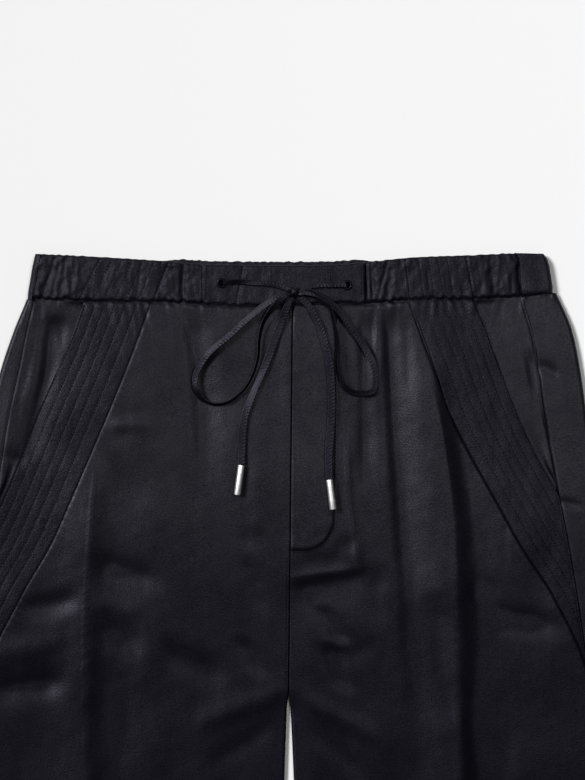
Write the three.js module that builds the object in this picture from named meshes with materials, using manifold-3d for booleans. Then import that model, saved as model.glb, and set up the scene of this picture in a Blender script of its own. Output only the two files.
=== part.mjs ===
// Drawstring trousers in satin, laid flat on their back with the front up.
// Millimetres. +Z is up from the surface, +Y runs to the waist, +X to the wearer's left.
// The origin is on the surface, under the middle of the laid garment.
// Down is the distance from the waist's top line towards the hems, and across is the
// distance from the middle line, which is to the right of the page when it is positive.
import * as THREE from "three";
import { mergeVertices } from "three/addons/utils/BufferGeometryUtils.js";
import Module from "manifold-3d";

const wasm = await Module();
wasm.setup();

// Driving sizes of the garment
const LENGTH = 1040; // waist to hem
const CROTCH_DOWN = 322; // waist to crotch
const CLOTH = 1.4; // wall of one layer of cloth
const CASING = 3.0; // wall of the waist casing with its elastic
const SEAM = 0.3; // gap between two pieces at a seam
const PRESSED = 0.3; // inner radius of an edge that is turned in at a seam
const LAYER_GAP = 0.3; // gap between two layers
const LEG_GAP_AT_HEM = 44; // between the two inner legs at the hem
const CASING_FOLD = 4.5; // outer radius where the casing turns round at a side
const HEM_DEPTH = 25; // turned hem at each leg end
const HEM_EXTRA = 0.6; // the turned hem is this much thicker

// Driving sizes of the drawstring and its fittings
const TAIL = { wide: 5.4, thick: 1.4 };
const LOOP = { wide: 3.2, thick: 2.2 };
const LEAD = { wide: 3.4, thick: 1.4 };
const TIP = { radius: 2.6, long: 22.5, rim: 0.35 };
const KNOT = { across: 4.2, down: 3.4, high: 3.4 };
const EYELET = { bore: 2.0, barrel: 2.5, flange: 3.9, thick: 0.7 };
const REST_GAP = 0.55; // what lies on the cloth is this far above it

// A table of rows whose columns are named once
function table(columns, rows) {
  const names = columns.split(" ");
  return rows.map((row) => Object.fromEntries(names.map((name, i) => [name, row[i]])));
}

// One row for each section of the body: how far from the middle line its seams lie
const SECTIONS = {
  right: table("down band mouth seam fold", [
    [20, 84, 133, 172, 195],
    [35, 89.3, 138, 174, 199],
    [60, 98.5, 147.8, 181.5, 211.3],
    [90, 109.5, 158.8, 186.8, 218.6],
    [120, 120.0, 170.3, 190.7, 223.0],
    [150, 134.5, 184.2, 196.5, 226.5],
    [185, 153.8, 204.0, 203.0, 229.2],
    [220, 173.3, 224.0, 209.6, 231.4],
    [260, 198.8, 246.0, 216.3, 233.5],
    [318, 224.0, 270.0, 224.0, 236.5],
    [450, 233.5, 280.0, 233.5, 241.0],
    [700, 241.0, 290.0, 241.0, 247.0],
    [1040, 247.0, 300.0, 247.0, 253.0],
  ]),
  left: table("down band mouth seam fold", [
    [20, 98, 148, 190, 194],
    [35, 103.5, 154.0, 192.0, 197.0],
    [60, 112.5, 163.0, 198.0, 207.5],
    [90, 124.0, 176.0, 204.0, 218.0],
    [120, 136.3, 189.5, 210.5, 224.4],
    [150, 149.0, 201.5, 215.5, 228.5],
    [185, 164.0, 216.0, 220.5, 231.7],
    [220, 180.0, 233.0, 224.0, 234.0],
    [260, 203.0, 255.0, 226.5, 236.0],
    [318, 228.5, 280.0, 228.5, 238.2],
    [450, 234.5, 290.0, 234.5, 241.6],
    [700, 241.0, 295.0, 241.0, 247.0],
    [1040, 247.0, 300.0, 247.0, 253.0],
  ]),
};

// The waist casing's edges, all round the front: how far down its top and its seam lie
const WAIST = table("across top seam", [
  [-197, 0.5, 34.5],
  [-158, 2.0, 36.4],
  [-100, 5.5, 37.0],
  [-66, 8.2, 38.6],
  [-40, 8.8, 40.2],
  [0, 9.0, 40.0],
  [33, 8.6, 38.5],
  [58, 6.6, 38.4],
  [92, 3.2, 35.5],
  [138, 1.4, 35.0],
  [172, 0.0, 33.2],
  [197, 0.5, 29.8],
]);
const CASING_SIDE = 196; // where the casing folds at each side
const SEAM_MIDDLE = 40; // the casing's seam at the middle of the back
const BACK_RISE = 4; // the back casing shows this much above the front one at the middle
const CENTRE_PIECE = { left: -66, right: 57 }; // the flat piece that holds the eyelets

// Long folds, which run down the garment. rise is over the cloth round it, and negative
// for a trough. near and far are the half widths on the page's left and right.
const LONG_FOLDS = table("from across0 middle across1 to across2 rise near far", [
  [36, -79, 110, -70, 250, -67, -2.6, 6, 5],
  [130, -148, 230, -151, 430, -146, 2.4, 14, 5],
  [130, -139, 230, -141, 430, -136, -2.4, 5, 9],
  [36, 73, 150, 78, 400, 95, -2.6, 5, 6],
  [45, 53, 110, 54, 190, 56, -1.6, 4, 4],
  [36, 87, 80, 88, 120, 90, -1.6, 4, 4],
  [100, 112, 215, 124, 430, 142, 2.4, 12, 5],
  [80, 106, 215, 134, 420, 151, -2.8, 7, 8],
  [120, 46, 185, 46, 255, 54, 1.5, 5, 4],
  [55, -9, 110, -9, 170, -8, -1.4, 5, 6],
  [225, -31, 250, -30, 275, -28, -1.2, 6, 6],
  [420, -170, 640, -186, 900, -176, 1.3, 16, 12],
  [340, -60, 600, -92, 960, -80, 1.6, 18, 12],
  [360, -40, 600, -64, 860, -60, -1.3, 12, 12],
  [400, 150, 640, 172, 930, 160, 1.5, 16, 12],
  [350, 52, 620, 90, 980, 104, 1.6, 14, 16],
  [380, 30, 600, 56, 820, 64, -1.3, 10, 12],
]);

// Cross folds, which run across the garment; near is towards the waist
const CROSS_FOLDS = table("from down0 to down1 rise near far", [
  [4, 241, 56, 236, 1.5, 4, 3.5],
  [4, 250, 54, 245, -2.0, 4, 7],
  [-142, 233, -104, 246, -1.5, 7, 7],
  [-142, 282, -114, 291, -1.2, 7, 7],
  [-136, 128, -104, 129, 1.2, 5, 5],
  [-214, 292, -172, 272, 1.4, 6, 6],
  [-70, 352, -6, 330, 1.5, 7, 7],
  [6, 334, 64, 362, 1.5, 7, 7],
]);

// The deep folds of the gathered casing: where they lie, how deep and how wide they are
const CASING_FOLDS = table("across lean depth wide", [
  [-178, 5, 0.9, 4],
  [-168, 4, 0.6, 4],
  [-141, 3, 0.6, 3],
  [-80, 0, 1.2, 3],
  [63, 0, 1.1, 3],
  [69, 4, 0.9, 3],
  [82, 3, 0.6, 3],
  [152, -4, 0.7, 4],
]);
const GATHER_PITCH = 10.4; // the casing's small waves
const GATHER_RISE = 0.35;

// Section heights: how high the upper layer lies when no fold crosses it
const HEIGHTS = table("down body sideFold innerFold", [
  [30, 6.2, 3.3, 2.3],
  [80, 6.6, 3.4, 2.3],
  [250, 6.4, 3.3, 2.3],
  [400, 5.6, 2.9, 2.3],
  [700, 5.3, 2.7, 2.2],
  [1040, 5.0, 2.5, 2.2],
]);
const LOWEST_TOP = CLOTH + LAYER_GAP + CLOTH + 0.2;
const SEAM_HEIGHT = 6.6; // the upper layer where it meets the casing

// Rows of every panel, as distances down
const ROWS = [
  38, 48, 64, 86, 110, 136, 162, 188, 214, 240, 262, 290, 318, 336, 372, 430, 520, 640, 780, 920,
  1012, 1040,
];
const FIRST_ROW = ROWS[0];
const BAND_END = 318; // the stitched band runs out into the side seam here
const BAND_RIBS = 8; // channels between the band's rows of stitching
const RIB_RISE = 0.5;
const FLY = { wide: 34, end: 225, corner: 26, gap: 0.7, thick: 1.0 };

const clamp01 = (t) => Math.min(1, Math.max(0, t));
const mix = (a, b, t) => a + (b - a) * t;
const spread = (count) => Array.from({ length: count + 1 }, (_, i) => i / count);

function smooth(low, high, value) {
  const t = clamp01((value - low) / (high - low));
  return t * t * (3 - 2 * t);
}

// A smooth curve through one column of a table, as a function of another column
function follow(rows, by, column, at) {
  const last = rows.length - 1;
  let i = 0;
  while (i < last - 1 && at > rows[i + 1][by]) i++;
  const slope = (k) => {
    const a = rows[Math.max(0, k - 1)];
    const b = rows[Math.min(last, k + 1)];
    return (b[column] - a[column]) / (b[by] - a[by]);
  };
  const [p, q] = [rows[i], rows[i + 1]];
  const step = q[by] - p[by];
  const t = clamp01((at - p[by]) / step);
  const rise = q[column] - p[column];
  const [m0, m1] = [slope(i) * step, slope(i + 1) * step];
  return p[column] + t * (m0 + t * (3 * rise - 2 * m0 - m1 + t * (m0 + m1 - 2 * rise)));
}

const line = (side, name, down) => follow(SECTIONS[side], "down", name, down);
const signOf = (side) => (side === "right" ? 1 : -1);
const waistTop = (across) => follow(WAIST, "across", "top", across);
const waistSeam = (across) => follow(WAIST, "across", "seam", across);
const bodyHeight = (down) => follow(HEIGHTS, "down", "body", down);

// The centre line leans a little, and below the crotch it opens into the two inner legs
function innerEdge(side, down) {
  const lean = mix(2, -1, clamp01((down - 35) / (CROTCH_DOWN - 35)));
  const legs = Math.max(0, down - CROTCH_DOWN) / (LENGTH - CROTCH_DOWN);
  const parted = 0.7 * smooth(CROTCH_DOWN - 30, CROTCH_DOWN, down);
  const open = (LEG_GAP_AT_HEM / 2 - 1) * legs ** 0.85;
  return lean + clamp01(legs * 4) + signOf(side) * (SEAM / 2 + parted + open);
}

// A bell whose two sides have their own widths
function bell(distance, near, far) {
  const t = distance / (distance < 0 ? near : far);
  return Math.exp(-t * t);
}

function longFold(fold, across, down) {
  const path = [
    { down: fold.from, across: fold.across0 },
    { down: fold.middle, across: fold.across1 },
    { down: fold.to, across: fold.across2 },
  ];
  const fade = 0.22 * (fold.to - fold.from);
  const start = fold.from < FIRST_ROW ? 1 : smooth(fold.from, fold.from + fade, down);
  const strength = start * (1 - smooth(fold.to - 1.6 * fade, fold.to, down));
  const centre = follow(path, "down", "across", down);
  return strength * fold.rise * bell(across - centre, fold.near, fold.far);
}

function crossFold(fold, across, down) {
  const t = (across - fold.from) / (fold.to - fold.from);
  const strength = smooth(-0.15, 0.25, t) * (1 - smooth(0.75, 1.15, t));
  const centre = mix(fold.down0, fold.down1, t);
  return strength * fold.rise * bell(down - centre, fold.near, fold.far);
}

// Height of the upper layer's top face
function topHeight(across, down) {
  const side = across > innerMiddle(down) ? "right" : "left";
  let z = bodyHeight(down);
  for (const fold of LONG_FOLDS) z += longFold(fold, across, down);
  for (const fold of CROSS_FOLDS) z += crossFold(fold, across, down);
  z = Math.max(z, LOWEST_TOP);
  const sideRadius = follow(HEIGHTS, "down", "sideFold", down);
  const fromSide = line(side, "fold", down) - sideRadius - Math.abs(across);
  z = mix(2 * sideRadius, z, smooth(0, 16, fromSide));
  const legs = smooth(CROTCH_DOWN - 8, CROTCH_DOWN + 14, down);
  const innerRadius = follow(HEIGHTS, "down", "innerFold", down);
  const fromInner = Math.abs(across - innerEdge(side, down)) - innerRadius;
  z = mix(z, mix(2 * innerRadius, z, smooth(0, 14, fromInner)), legs);
  return mix(SEAM_HEIGHT, z, smooth(0, 26, down - waistSeam(across)));
}

const innerMiddle = (down) => (innerEdge("left", down) + innerEdge("right", down)) / 2;

// On the underside the casing's seam runs straight from each side to the middle
function underSeam(across) {
  const side = waistSeam(Math.sign(across) * CASING_SIDE);
  return mix(SEAM_MIDDLE, side, clamp01(Math.abs(across) / CASING_SIDE));
}

// The rows near the waist bend so that the first one follows the casing's seam
function rowDown(across, row, seam = waistSeam(across)) {
  const shift = seam + SEAM - FIRST_ROW;
  return row + shift * (1 - clamp01((row - FIRST_ROW) / 60));
}

const place = (across, down, z) => new THREE.Vector3(across, LENGTH / 2 - down, z);

// A closed wall. outer and inner hold the same rows and columns of points.
function wall(outer, inner) {
  const rows = outer.length;
  const columns = outer[0].length;
  const points = [...outer.flat(), ...inner.flat()];
  const at = (row, column, face) => face * rows * columns + row * columns + column;
  const faces = [];
  const quad = (a, b, c, d) => faces.push([a, b, c], [a, c, d]);
  for (let r = 0; r < rows - 1; r++)
    for (let c = 0; c < columns - 1; c++) {
      quad(at(r, c, 0), at(r + 1, c, 0), at(r + 1, c + 1, 0), at(r, c + 1, 0));
      faces.push([at(r, c, 1), at(r + 1, c + 1, 1), at(r + 1, c, 1)]);
      faces.push([at(r, c, 1), at(r, c + 1, 1), at(r + 1, c + 1, 1)]);
    }
  for (let r = 0; r < rows - 1; r++) {
    quad(at(r, 0, 0), at(r, 0, 1), at(r + 1, 0, 1), at(r + 1, 0, 0));
    const c = columns - 1;
    quad(at(r, c, 0), at(r + 1, c, 0), at(r + 1, c, 1), at(r, c, 1));
  }
  for (let c = 0; c < columns - 1; c++) {
    quad(at(0, c, 0), at(0, c + 1, 0), at(0, c + 1, 1), at(0, c, 1));
    const r = rows - 1;
    quad(at(r, c, 0), at(r, c, 1), at(r, c + 1, 1), at(r, c + 1, 0));
  }
  let volume = 0;
  for (const [a, b, c] of faces)
    volume += points[a].dot(new THREE.Vector3().crossVectors(points[b], points[c]));
  const index = volume < 0 ? faces.map(([a, b, c]) => [a, c, b]) : faces;
  const geometry = new THREE.BufferGeometry().setFromPoints(points);
  geometry.setIndex(index.flat());
  return geometry;
}

const SATIN = { color: 0x24232a, roughness: 0.42, metalness: 0 };
const STEEL = { color: 0xc9c9cc, roughness: 0.3, metalness: 1 };
const DARK_METAL = { color: 0x2b2b30, roughness: 0.45, metalness: 0.8 };

const trousers = new THREE.Group();

function addPiece(name, geometry, look) {
  const piece = new THREE.Mesh(geometry, new THREE.MeshStandardMaterial(look));
  piece.name = name;
  trousers.add(piece);
  return piece;
}

// Wall thickness of a leg at a row: the turned hem is thicker
const clothAt = (down) => CLOTH + HEM_EXTRA * smooth(LENGTH - HEM_DEPTH - 6, LENGTH - HEM_DEPTH, down);

// The outer edge of a front panel: the stitched band, and below it the side seam
function frontEdge(side, down) {
  return line(side, down < BAND_END ? "band" : "seam", down) - SEAM / 2;
}

// Columns of a front panel: three round its inner edge, then even steps to the outer seam
const ARC = [0, Math.PI / 4, Math.PI / 2];
const FRONT_STEPS = 19;

function frontPanel(side) {
  const sign = signOf(side);
  const outer = [];
  const inner = [];
  for (const row of ROWS) {
    const legs = smooth(CROTCH_DOWN - 8, CROTCH_DOWN + 14, row);
    const radius = follow(HEIGHTS, "down", "innerFold", row);
    const edge = innerEdge(side, row);
    const thick = clothAt(row);
    const roll = mix(thick + PRESSED, radius, legs);
    const top = topHeight(edge + sign * roll, rowDown(edge, row));
    const drop = mix(thick + PRESSED, top - radius - SEAM / 2, legs);
    const outerRow = [];
    const innerRow = [];
    for (const turn of ARC) {
      const [out, up] = [Math.cos(turn), Math.sin(turn)];
      const down = rowDown(edge, row);
      outerRow.push(place(edge + sign * roll * (1 - out), down, top - drop * (1 - up)));
      const inX = edge + sign * (roll - (roll - thick) * out);
      innerRow.push(place(inX, down, top - drop + (drop - thick) * up));
    }
    const start = edge + sign * roll;
    const end = sign * frontEdge(side, row);
    for (const t of spread(FRONT_STEPS).slice(1)) {
      const across = mix(start, end, t);
      const down = rowDown(across, row);
      const z = topHeight(across, down);
      outerRow.push(place(across, down, z));
      innerRow.push(place(across, down, z - thick));
    }
    outer.push(outerRow);
    inner.push(innerRow);
  }
  return wall(outer, inner);
}

// A back panel runs from the centre back under the leg, round the side and up to the side seam
const BACK_FLAT_STEPS = 2;
const BACK_TURN_STEPS = 4;
const BACK_TOP_STEPS = 2;

function backPanel(side) {
  const sign = signOf(side);
  const outer = [];
  const inner = [];
  for (const row of ROWS) {
    const legs = smooth(CROTCH_DOWN - 8, CROTCH_DOWN + 14, row);
    const innerRadius = follow(HEIGHTS, "down", "innerFold", row);
    const radius = follow(HEIGHTS, "down", "sideFold", row);
    const edge = innerEdge(side, row);
    const fold = line(side, "fold", row);
    const seam = line(side, "seam", row) + SEAM / 2;
    const thick = clothAt(row);
    const roll = mix(thick + PRESSED, innerRadius, legs);
    const lift = mix(thick + PRESSED, innerRadius - SEAM / 2, legs);
    const outerRow = [];
    const innerRow = [];
    const add = (across, z, acrossIn, zIn) => {
      const seam = mix(underSeam(across), waistSeam(across), clamp01(z / (2 * radius)));
      outerRow.push(place(across, rowDown(across, row, seam), z));
      innerRow.push(place(acrossIn, rowDown(across, row, seam), zIn));
    };
    for (const turn of ARC) {
      const [out, up] = [Math.cos(turn), Math.sin(turn)];
      const across = edge + sign * roll * (1 - out);
      const acrossIn = edge + sign * (roll - (roll - thick) * out);
      add(across, lift * (1 - up), acrossIn, lift - (lift - thick) * up);
    }
    const start = edge + sign * roll;
    const end = sign * (fold - radius);
    for (const t of spread(BACK_FLAT_STEPS).slice(1)) {
      const across = mix(start, end, t);
      add(across, 0, across, thick);
    }
    for (const t of spread(BACK_TURN_STEPS).slice(1)) {
      const turn = -Math.PI / 2 + Math.PI * t;
      const [out, up] = [Math.cos(turn), Math.sin(turn)];
      const small = radius - thick;
      add(end + sign * radius * out, radius * (1 + up), end + sign * small * out, radius + small * up);
    }
    for (const t of spread(BACK_TOP_STEPS).slice(1)) {
      const across = mix(end, sign * seam, t);
      const z = topHeight(across, rowDown(across, row));
      add(across, z, across, z - thick);
    }
    outer.push(outerRow);
    inner.push(innerRow);
  }
  return wall(outer, inner);
}

// Where the pocket mouth runs out into the side seam
function mouthEnd(side) {
  let down = FIRST_ROW;
  while (line(side, "mouth", down) < line(side, "seam", down)) down += 1;
  return down;
}

// The band's outer edge: the pocket mouth, and below it the side seam
const bandEdge = (side, down) => Math.min(line(side, "mouth", down), line(side, "seam", down)) - SEAM / 2;

function ribHeight(side, across, down) {
  const inner = line(side, "band", down);
  const share = (Math.abs(across) - inner) / (line(side, "mouth", down) - inner);
  return RIB_RISE * Math.abs(Math.sin(Math.PI * BAND_RIBS * share));
}

function pocketBand(side) {
  const sign = signOf(side);
  const outer = [];
  const inner = [];
  const rows = ROWS.filter((row) => row < BAND_END - 1).concat(BAND_END - 5);
  for (const row of rows) {
    const start = sign * (line(side, "band", row) + SEAM / 2);
    const end = sign * bandEdge(side, row);
    const across = spread(2 * BAND_RIBS).map((t) => mix(start, end, t));
    const downs = across.map((x) => rowDown(x, row));
    const tops = across.map((x, i) => topHeight(x, downs[i]));
    outer.push(across.map((x, i) => place(x, downs[i], tops[i] + ribHeight(side, x, row))));
    inner.push(across.map((x, i) => place(x, downs[i], tops[i] - CLOTH)));
  }
  return wall(outer, inner);
}

// The pocket's facing starts under the band, shows past the mouth and ends at the side seam
const FACING_UNDER = 9; // it reaches this far under the band
const FACING_DROP = CLOTH + 0.7;
const FACING_STEPS = 5;

function pocketFacing(side) {
  const sign = signOf(side);
  const outer = [];
  const inner = [];
  const last = mouthEnd(side);
  const rows = ROWS.filter((row) => row < last - 4).concat(last);
  for (const row of rows) {
    const mouth = line(side, "mouth", row);
    const end = line(side, "seam", row) - SEAM / 2;
    const start = mouth - FACING_UNDER;
    const across = spread(FACING_STEPS).map((t) => sign * mix(start, end, t));
    const tops = across.map((x) => {
      const rise = smooth(mouth + 1, Math.max(mouth + 3, end - 2), Math.abs(x));
      return topHeight(x, rowDown(x, row)) - FACING_DROP * (1 - rise);
    });
    outer.push(across.map((x, i) => place(x, rowDown(x, row), tops[i])));
    inner.push(across.map((x, i) => place(x, rowDown(x, row), tops[i] - CLOTH)));
  }
  return wall(outer, inner);
}

// The mock fly lies on the front panel, and its lower corner is round
function mockFly() {
  const outer = [];
  const inner = [];
  const downs = ROWS.filter((row) => row < FLY.end - FLY.corner).concat(FLY.end - FLY.corner);
  const turns = [0.35, 0.65, 0.85, 1];
  const rows = downs.map((row) => ({ row, wide: FLY.wide }));
  for (const t of turns) {
    const turn = (t * Math.PI) / 2;
    const row = FLY.end - FLY.corner * (1 - Math.sin(turn));
    rows.push({ row, wide: FLY.wide - FLY.corner * 0.96 * (1 - Math.cos(turn)) });
  }
  for (const { row, wide } of rows) {
    const start = innerEdge("right", row) + 0.8;
    const across = spread(5).map((t) => mix(start, start + wide, t));
    const base = across.map((x) => topHeight(x, rowDown(x, row)) + FLY.gap);
    outer.push(across.map((x, i) => place(x, rowDown(x, row), base[i] + FLY.thick)));
    inner.push(across.map((x, i) => place(x, rowDown(x, row), base[i])));
  }
  return wall(outer, inner);
}

// Height of the casing's top face: small waves and a few deep folds
function casingTop(across, share) {
  const waves = Math.sin((2 * Math.PI * across) / GATHER_PITCH + 1.3 * Math.sin(across / 17));
  let z = 2 * CASING_FOLD + GATHER_RISE * waves * mix(0.7, 1.2, share);
  for (const fold of CASING_FOLDS) {
    const distance = across - fold.across - fold.lean * (0.5 - share);
    z -= fold.depth * bell(distance, fold.wide, fold.wide);
  }
  return z;
}

const CASING_ROWS = [0, 0.1, 0.5, 0.9, 1];
const BACK_CASING_ROWS = [0, 0.5, 1];
const CASING_FLAT_STEPS = 20;
const COLUMN_STEP = GATHER_PITCH / 3;

// A row of the casing, from its top edge to its seam, at one place across
const casingDown = (across, share) => mix(waistTop(across), waistSeam(across) - SEAM, share);

function casingStrip(from, to, columns, heightAt) {
  const outer = [];
  const inner = [];
  for (const share of CASING_ROWS) {
    const edge = share === 0 || share === 1 ? 0.5 : 0; // the folded edges are rounded off
    const across = spread(columns).map((t) => mix(from, to, t));
    const floor = 2 * CASING_FOLD - CASING;
    outer.push(across.map((x) => place(x, casingDown(x, share), heightAt(x, share) - edge)));
    inner.push(across.map((x) => place(x, casingDown(x, share), floor)));
  }
  return wall(outer, inner);
}

// Side seam of the casing, on the front of the laid garment
const casingSeam = (side) => line(side, "seam", 35) - 1;

function casingSide(side) {
  const from = side === "right" ? CENTRE_PIECE.right + SEAM : CENTRE_PIECE.left - SEAM;
  const to = signOf(side) * (casingSeam(side) - SEAM / 2);
  const columns = Math.round(Math.abs(to - from) / COLUMN_STEP);
  return casingStrip(from, to, columns, casingTop);
}

// The back casing's section round one side: up from the surface and over to the side seam
const CASING_TURN_STEPS = 5;

function casingTurn(side) {
  const sign = signOf(side);
  const end = CASING_SIDE - CASING_FOLD;
  const seam = casingSeam(side) + SEAM / 2;
  const inside = CASING_FOLD - CASING;
  const points = spread(CASING_TURN_STEPS).map((t) => {
    const turn = Math.PI * (t - 0.5);
    const [out, up] = [Math.cos(turn), Math.sin(turn)];
    return {
      x: sign * (end + CASING_FOLD * out),
      z: CASING_FOLD * (1 + up),
      xIn: sign * (end + inside * out),
      zIn: CASING_FOLD + inside * up,
    };
  });
  const steps = Math.max(1, Math.round((end - seam) / 8));
  for (const t of spread(steps).slice(1)) {
    const x = sign * mix(end, seam, t);
    points.push({ x, z: 2 * CASING_FOLD, xIn: x, zIn: 2 * CASING_FOLD - CASING });
  }
  return points;
}

// The back casing lies under the front one and turns up round both sides to the side seams
function casingBack() {
  const end = CASING_SIDE - CASING_FOLD;
  const flat = spread(CASING_FLAT_STEPS).slice(1, -1).map((t) => {
    const x = mix(-end, end, t);
    return { x, z: 0, xIn: x, zIn: CASING };
  });
  const path = [...casingTurn("left").reverse(), ...flat, ...casingTurn("right")];
  const rise = (x) => BACK_RISE * smooth(-100, -78, x) * (1 - smooth(48, 66, x));
  const downAt = (p, share) => {
    const seam = mix(underSeam(p.x), waistSeam(p.x), p.z / (2 * CASING_FOLD));
    return mix(waistTop(p.x) - rise(p.x), seam - SEAM, share);
  };
  const outer = BACK_CASING_ROWS.map((share) => path.map((p) => place(p.x, downAt(p, share), p.z)));
  const inner = BACK_CASING_ROWS.map((share) =>
    path.map((p) => place(p.xIn, downAt(p, share), p.zIn)),
  );
  return wall(outer, inner);
}

// A three.js geometry as a manifold-3d solid, and back again
function toSolid(geometry) {
  const bare = geometry.clone();
  bare.deleteAttribute("normal");
  bare.deleteAttribute("uv");
  const merged = mergeVertices(bare, 1e-4);
  const mesh = new wasm.Mesh({
    numProp: 3,
    vertProperties: new Float32Array(merged.attributes.position.array),
    triVerts: new Uint32Array(merged.index.array),
  });
  return new wasm.Manifold(mesh);
}

function fromSolid(solid) {
  const mesh = solid.getMesh();
  const geometry = new THREE.BufferGeometry();
  geometry.setAttribute("position", new THREE.BufferAttribute(mesh.vertProperties, 3));
  geometry.setIndex(new THREE.BufferAttribute(mesh.triVerts, 1));
  return geometry;
}

// Eyelets: across and down of each
const EYELETS = { left: { across: -51.2, down: 22.6 }, right: { across: 42.8, down: 24.2 } };
const CENTRE_TOP = 2 * CASING_FOLD; // the eyelets' piece is flat

// The flat centre piece of the casing, with a hole for each eyelet
function casingCentre() {
  const strip = casingStrip(CENTRE_PIECE.left, CENTRE_PIECE.right, 16, () => CENTRE_TOP);
  let solid = toSolid(strip);
  for (const eyelet of Object.values(EYELETS)) {
    const hole = new THREE.CylinderGeometry(EYELET.barrel + SEAM, EYELET.barrel + SEAM, 12, 16);
    hole.rotateX(Math.PI / 2);
    const at = place(eyelet.across, eyelet.down, CENTRE_TOP);
    hole.translate(at.x, at.y, at.z);
    solid = solid.subtract(toSolid(hole));
  }
  return fromSolid(solid);
}

// An eyelet is a barrel through the casing with a round flange on top
function eyeletRing() {
  const low = -CASING + 0.2;
  const high = SEAM;
  const profile = [
    [EYELET.bore, low],
    [EYELET.barrel, low],
    [EYELET.barrel, high],
    [EYELET.flange, high],
    [EYELET.flange - 0.3, high + EYELET.thick],
    [EYELET.bore + 0.4, high + EYELET.thick],
    [EYELET.bore, high + 0.3],
    [EYELET.bore, low],
  ].map(([x, y]) => new THREE.Vector2(x, y));
  const ring = new THREE.LatheGeometry(profile, 16);
  ring.rotateX(Math.PI / 2);
  return ring;
}

// Height of the highest thing under a place, which the drawstring rests on
function restHeight(across, down) {
  if (down < waistSeam(across) + 2) return 2 * CASING_FOLD + GATHER_RISE;
  const onFly = across > innerMiddle(down) - 2 && across < innerMiddle(down) + FLY.wide + 4;
  const fly = onFly && down < FLY.end + 4 ? FLY.gap + FLY.thick : 0;
  return topHeight(across, down) + fly;
}

function restsAt(across, down) {
  const reach = 4;
  let z = 0;
  for (const dx of [-reach, 0, reach])
    for (const dy of [-reach, 0, reach]) z = Math.max(z, restHeight(across + dx, down + dy));
  return z + REST_GAP;
}

// A cord's path keeps the cord's flat side up
class FlatPath extends THREE.CatmullRomCurve3 {
  computeFrenetFrames(steps) {
    const frames = { tangents: [], normals: [], binormals: [] };
    const up = new THREE.Vector3(0, 0, 1);
    for (const t of spread(steps)) {
      const tangent = this.getTangentAt(t);
      const level = new THREE.Vector3().crossVectors(tangent, up).normalize();
      frames.tangents.push(tangent);
      frames.binormals.push(level);
      frames.normals.push(new THREE.Vector3().crossVectors(level, tangent));
    }
    return frames;
  }
}

function cordSection({ wide, thick }) {
  const points = spread(8).slice(0, -1).map((t) => {
    const turn = 2 * Math.PI * (t + 1 / 16);
    return new THREE.Vector2((thick / 2) * Math.cos(turn), (wide / 2) * Math.sin(turn));
  });
  return new THREE.Shape(points);
}

// A stretch of cord through a route of across, down and lift over what it lies on
function cordGeometry(route, size, step) {
  const points = route.map((p) =>
    place(p.across, p.down, restsAt(p.across, p.down) + p.lift + size.thick / 2),
  );
  const path = new FlatPath(points, false, "catmullrom", 0.5);
  const steps = Math.max(3, Math.round(path.getLength() / step));
  return new THREE.ExtrudeGeometry(cordSection(size), { steps, extrudePath: path, bevelEnabled: false });
}

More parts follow.
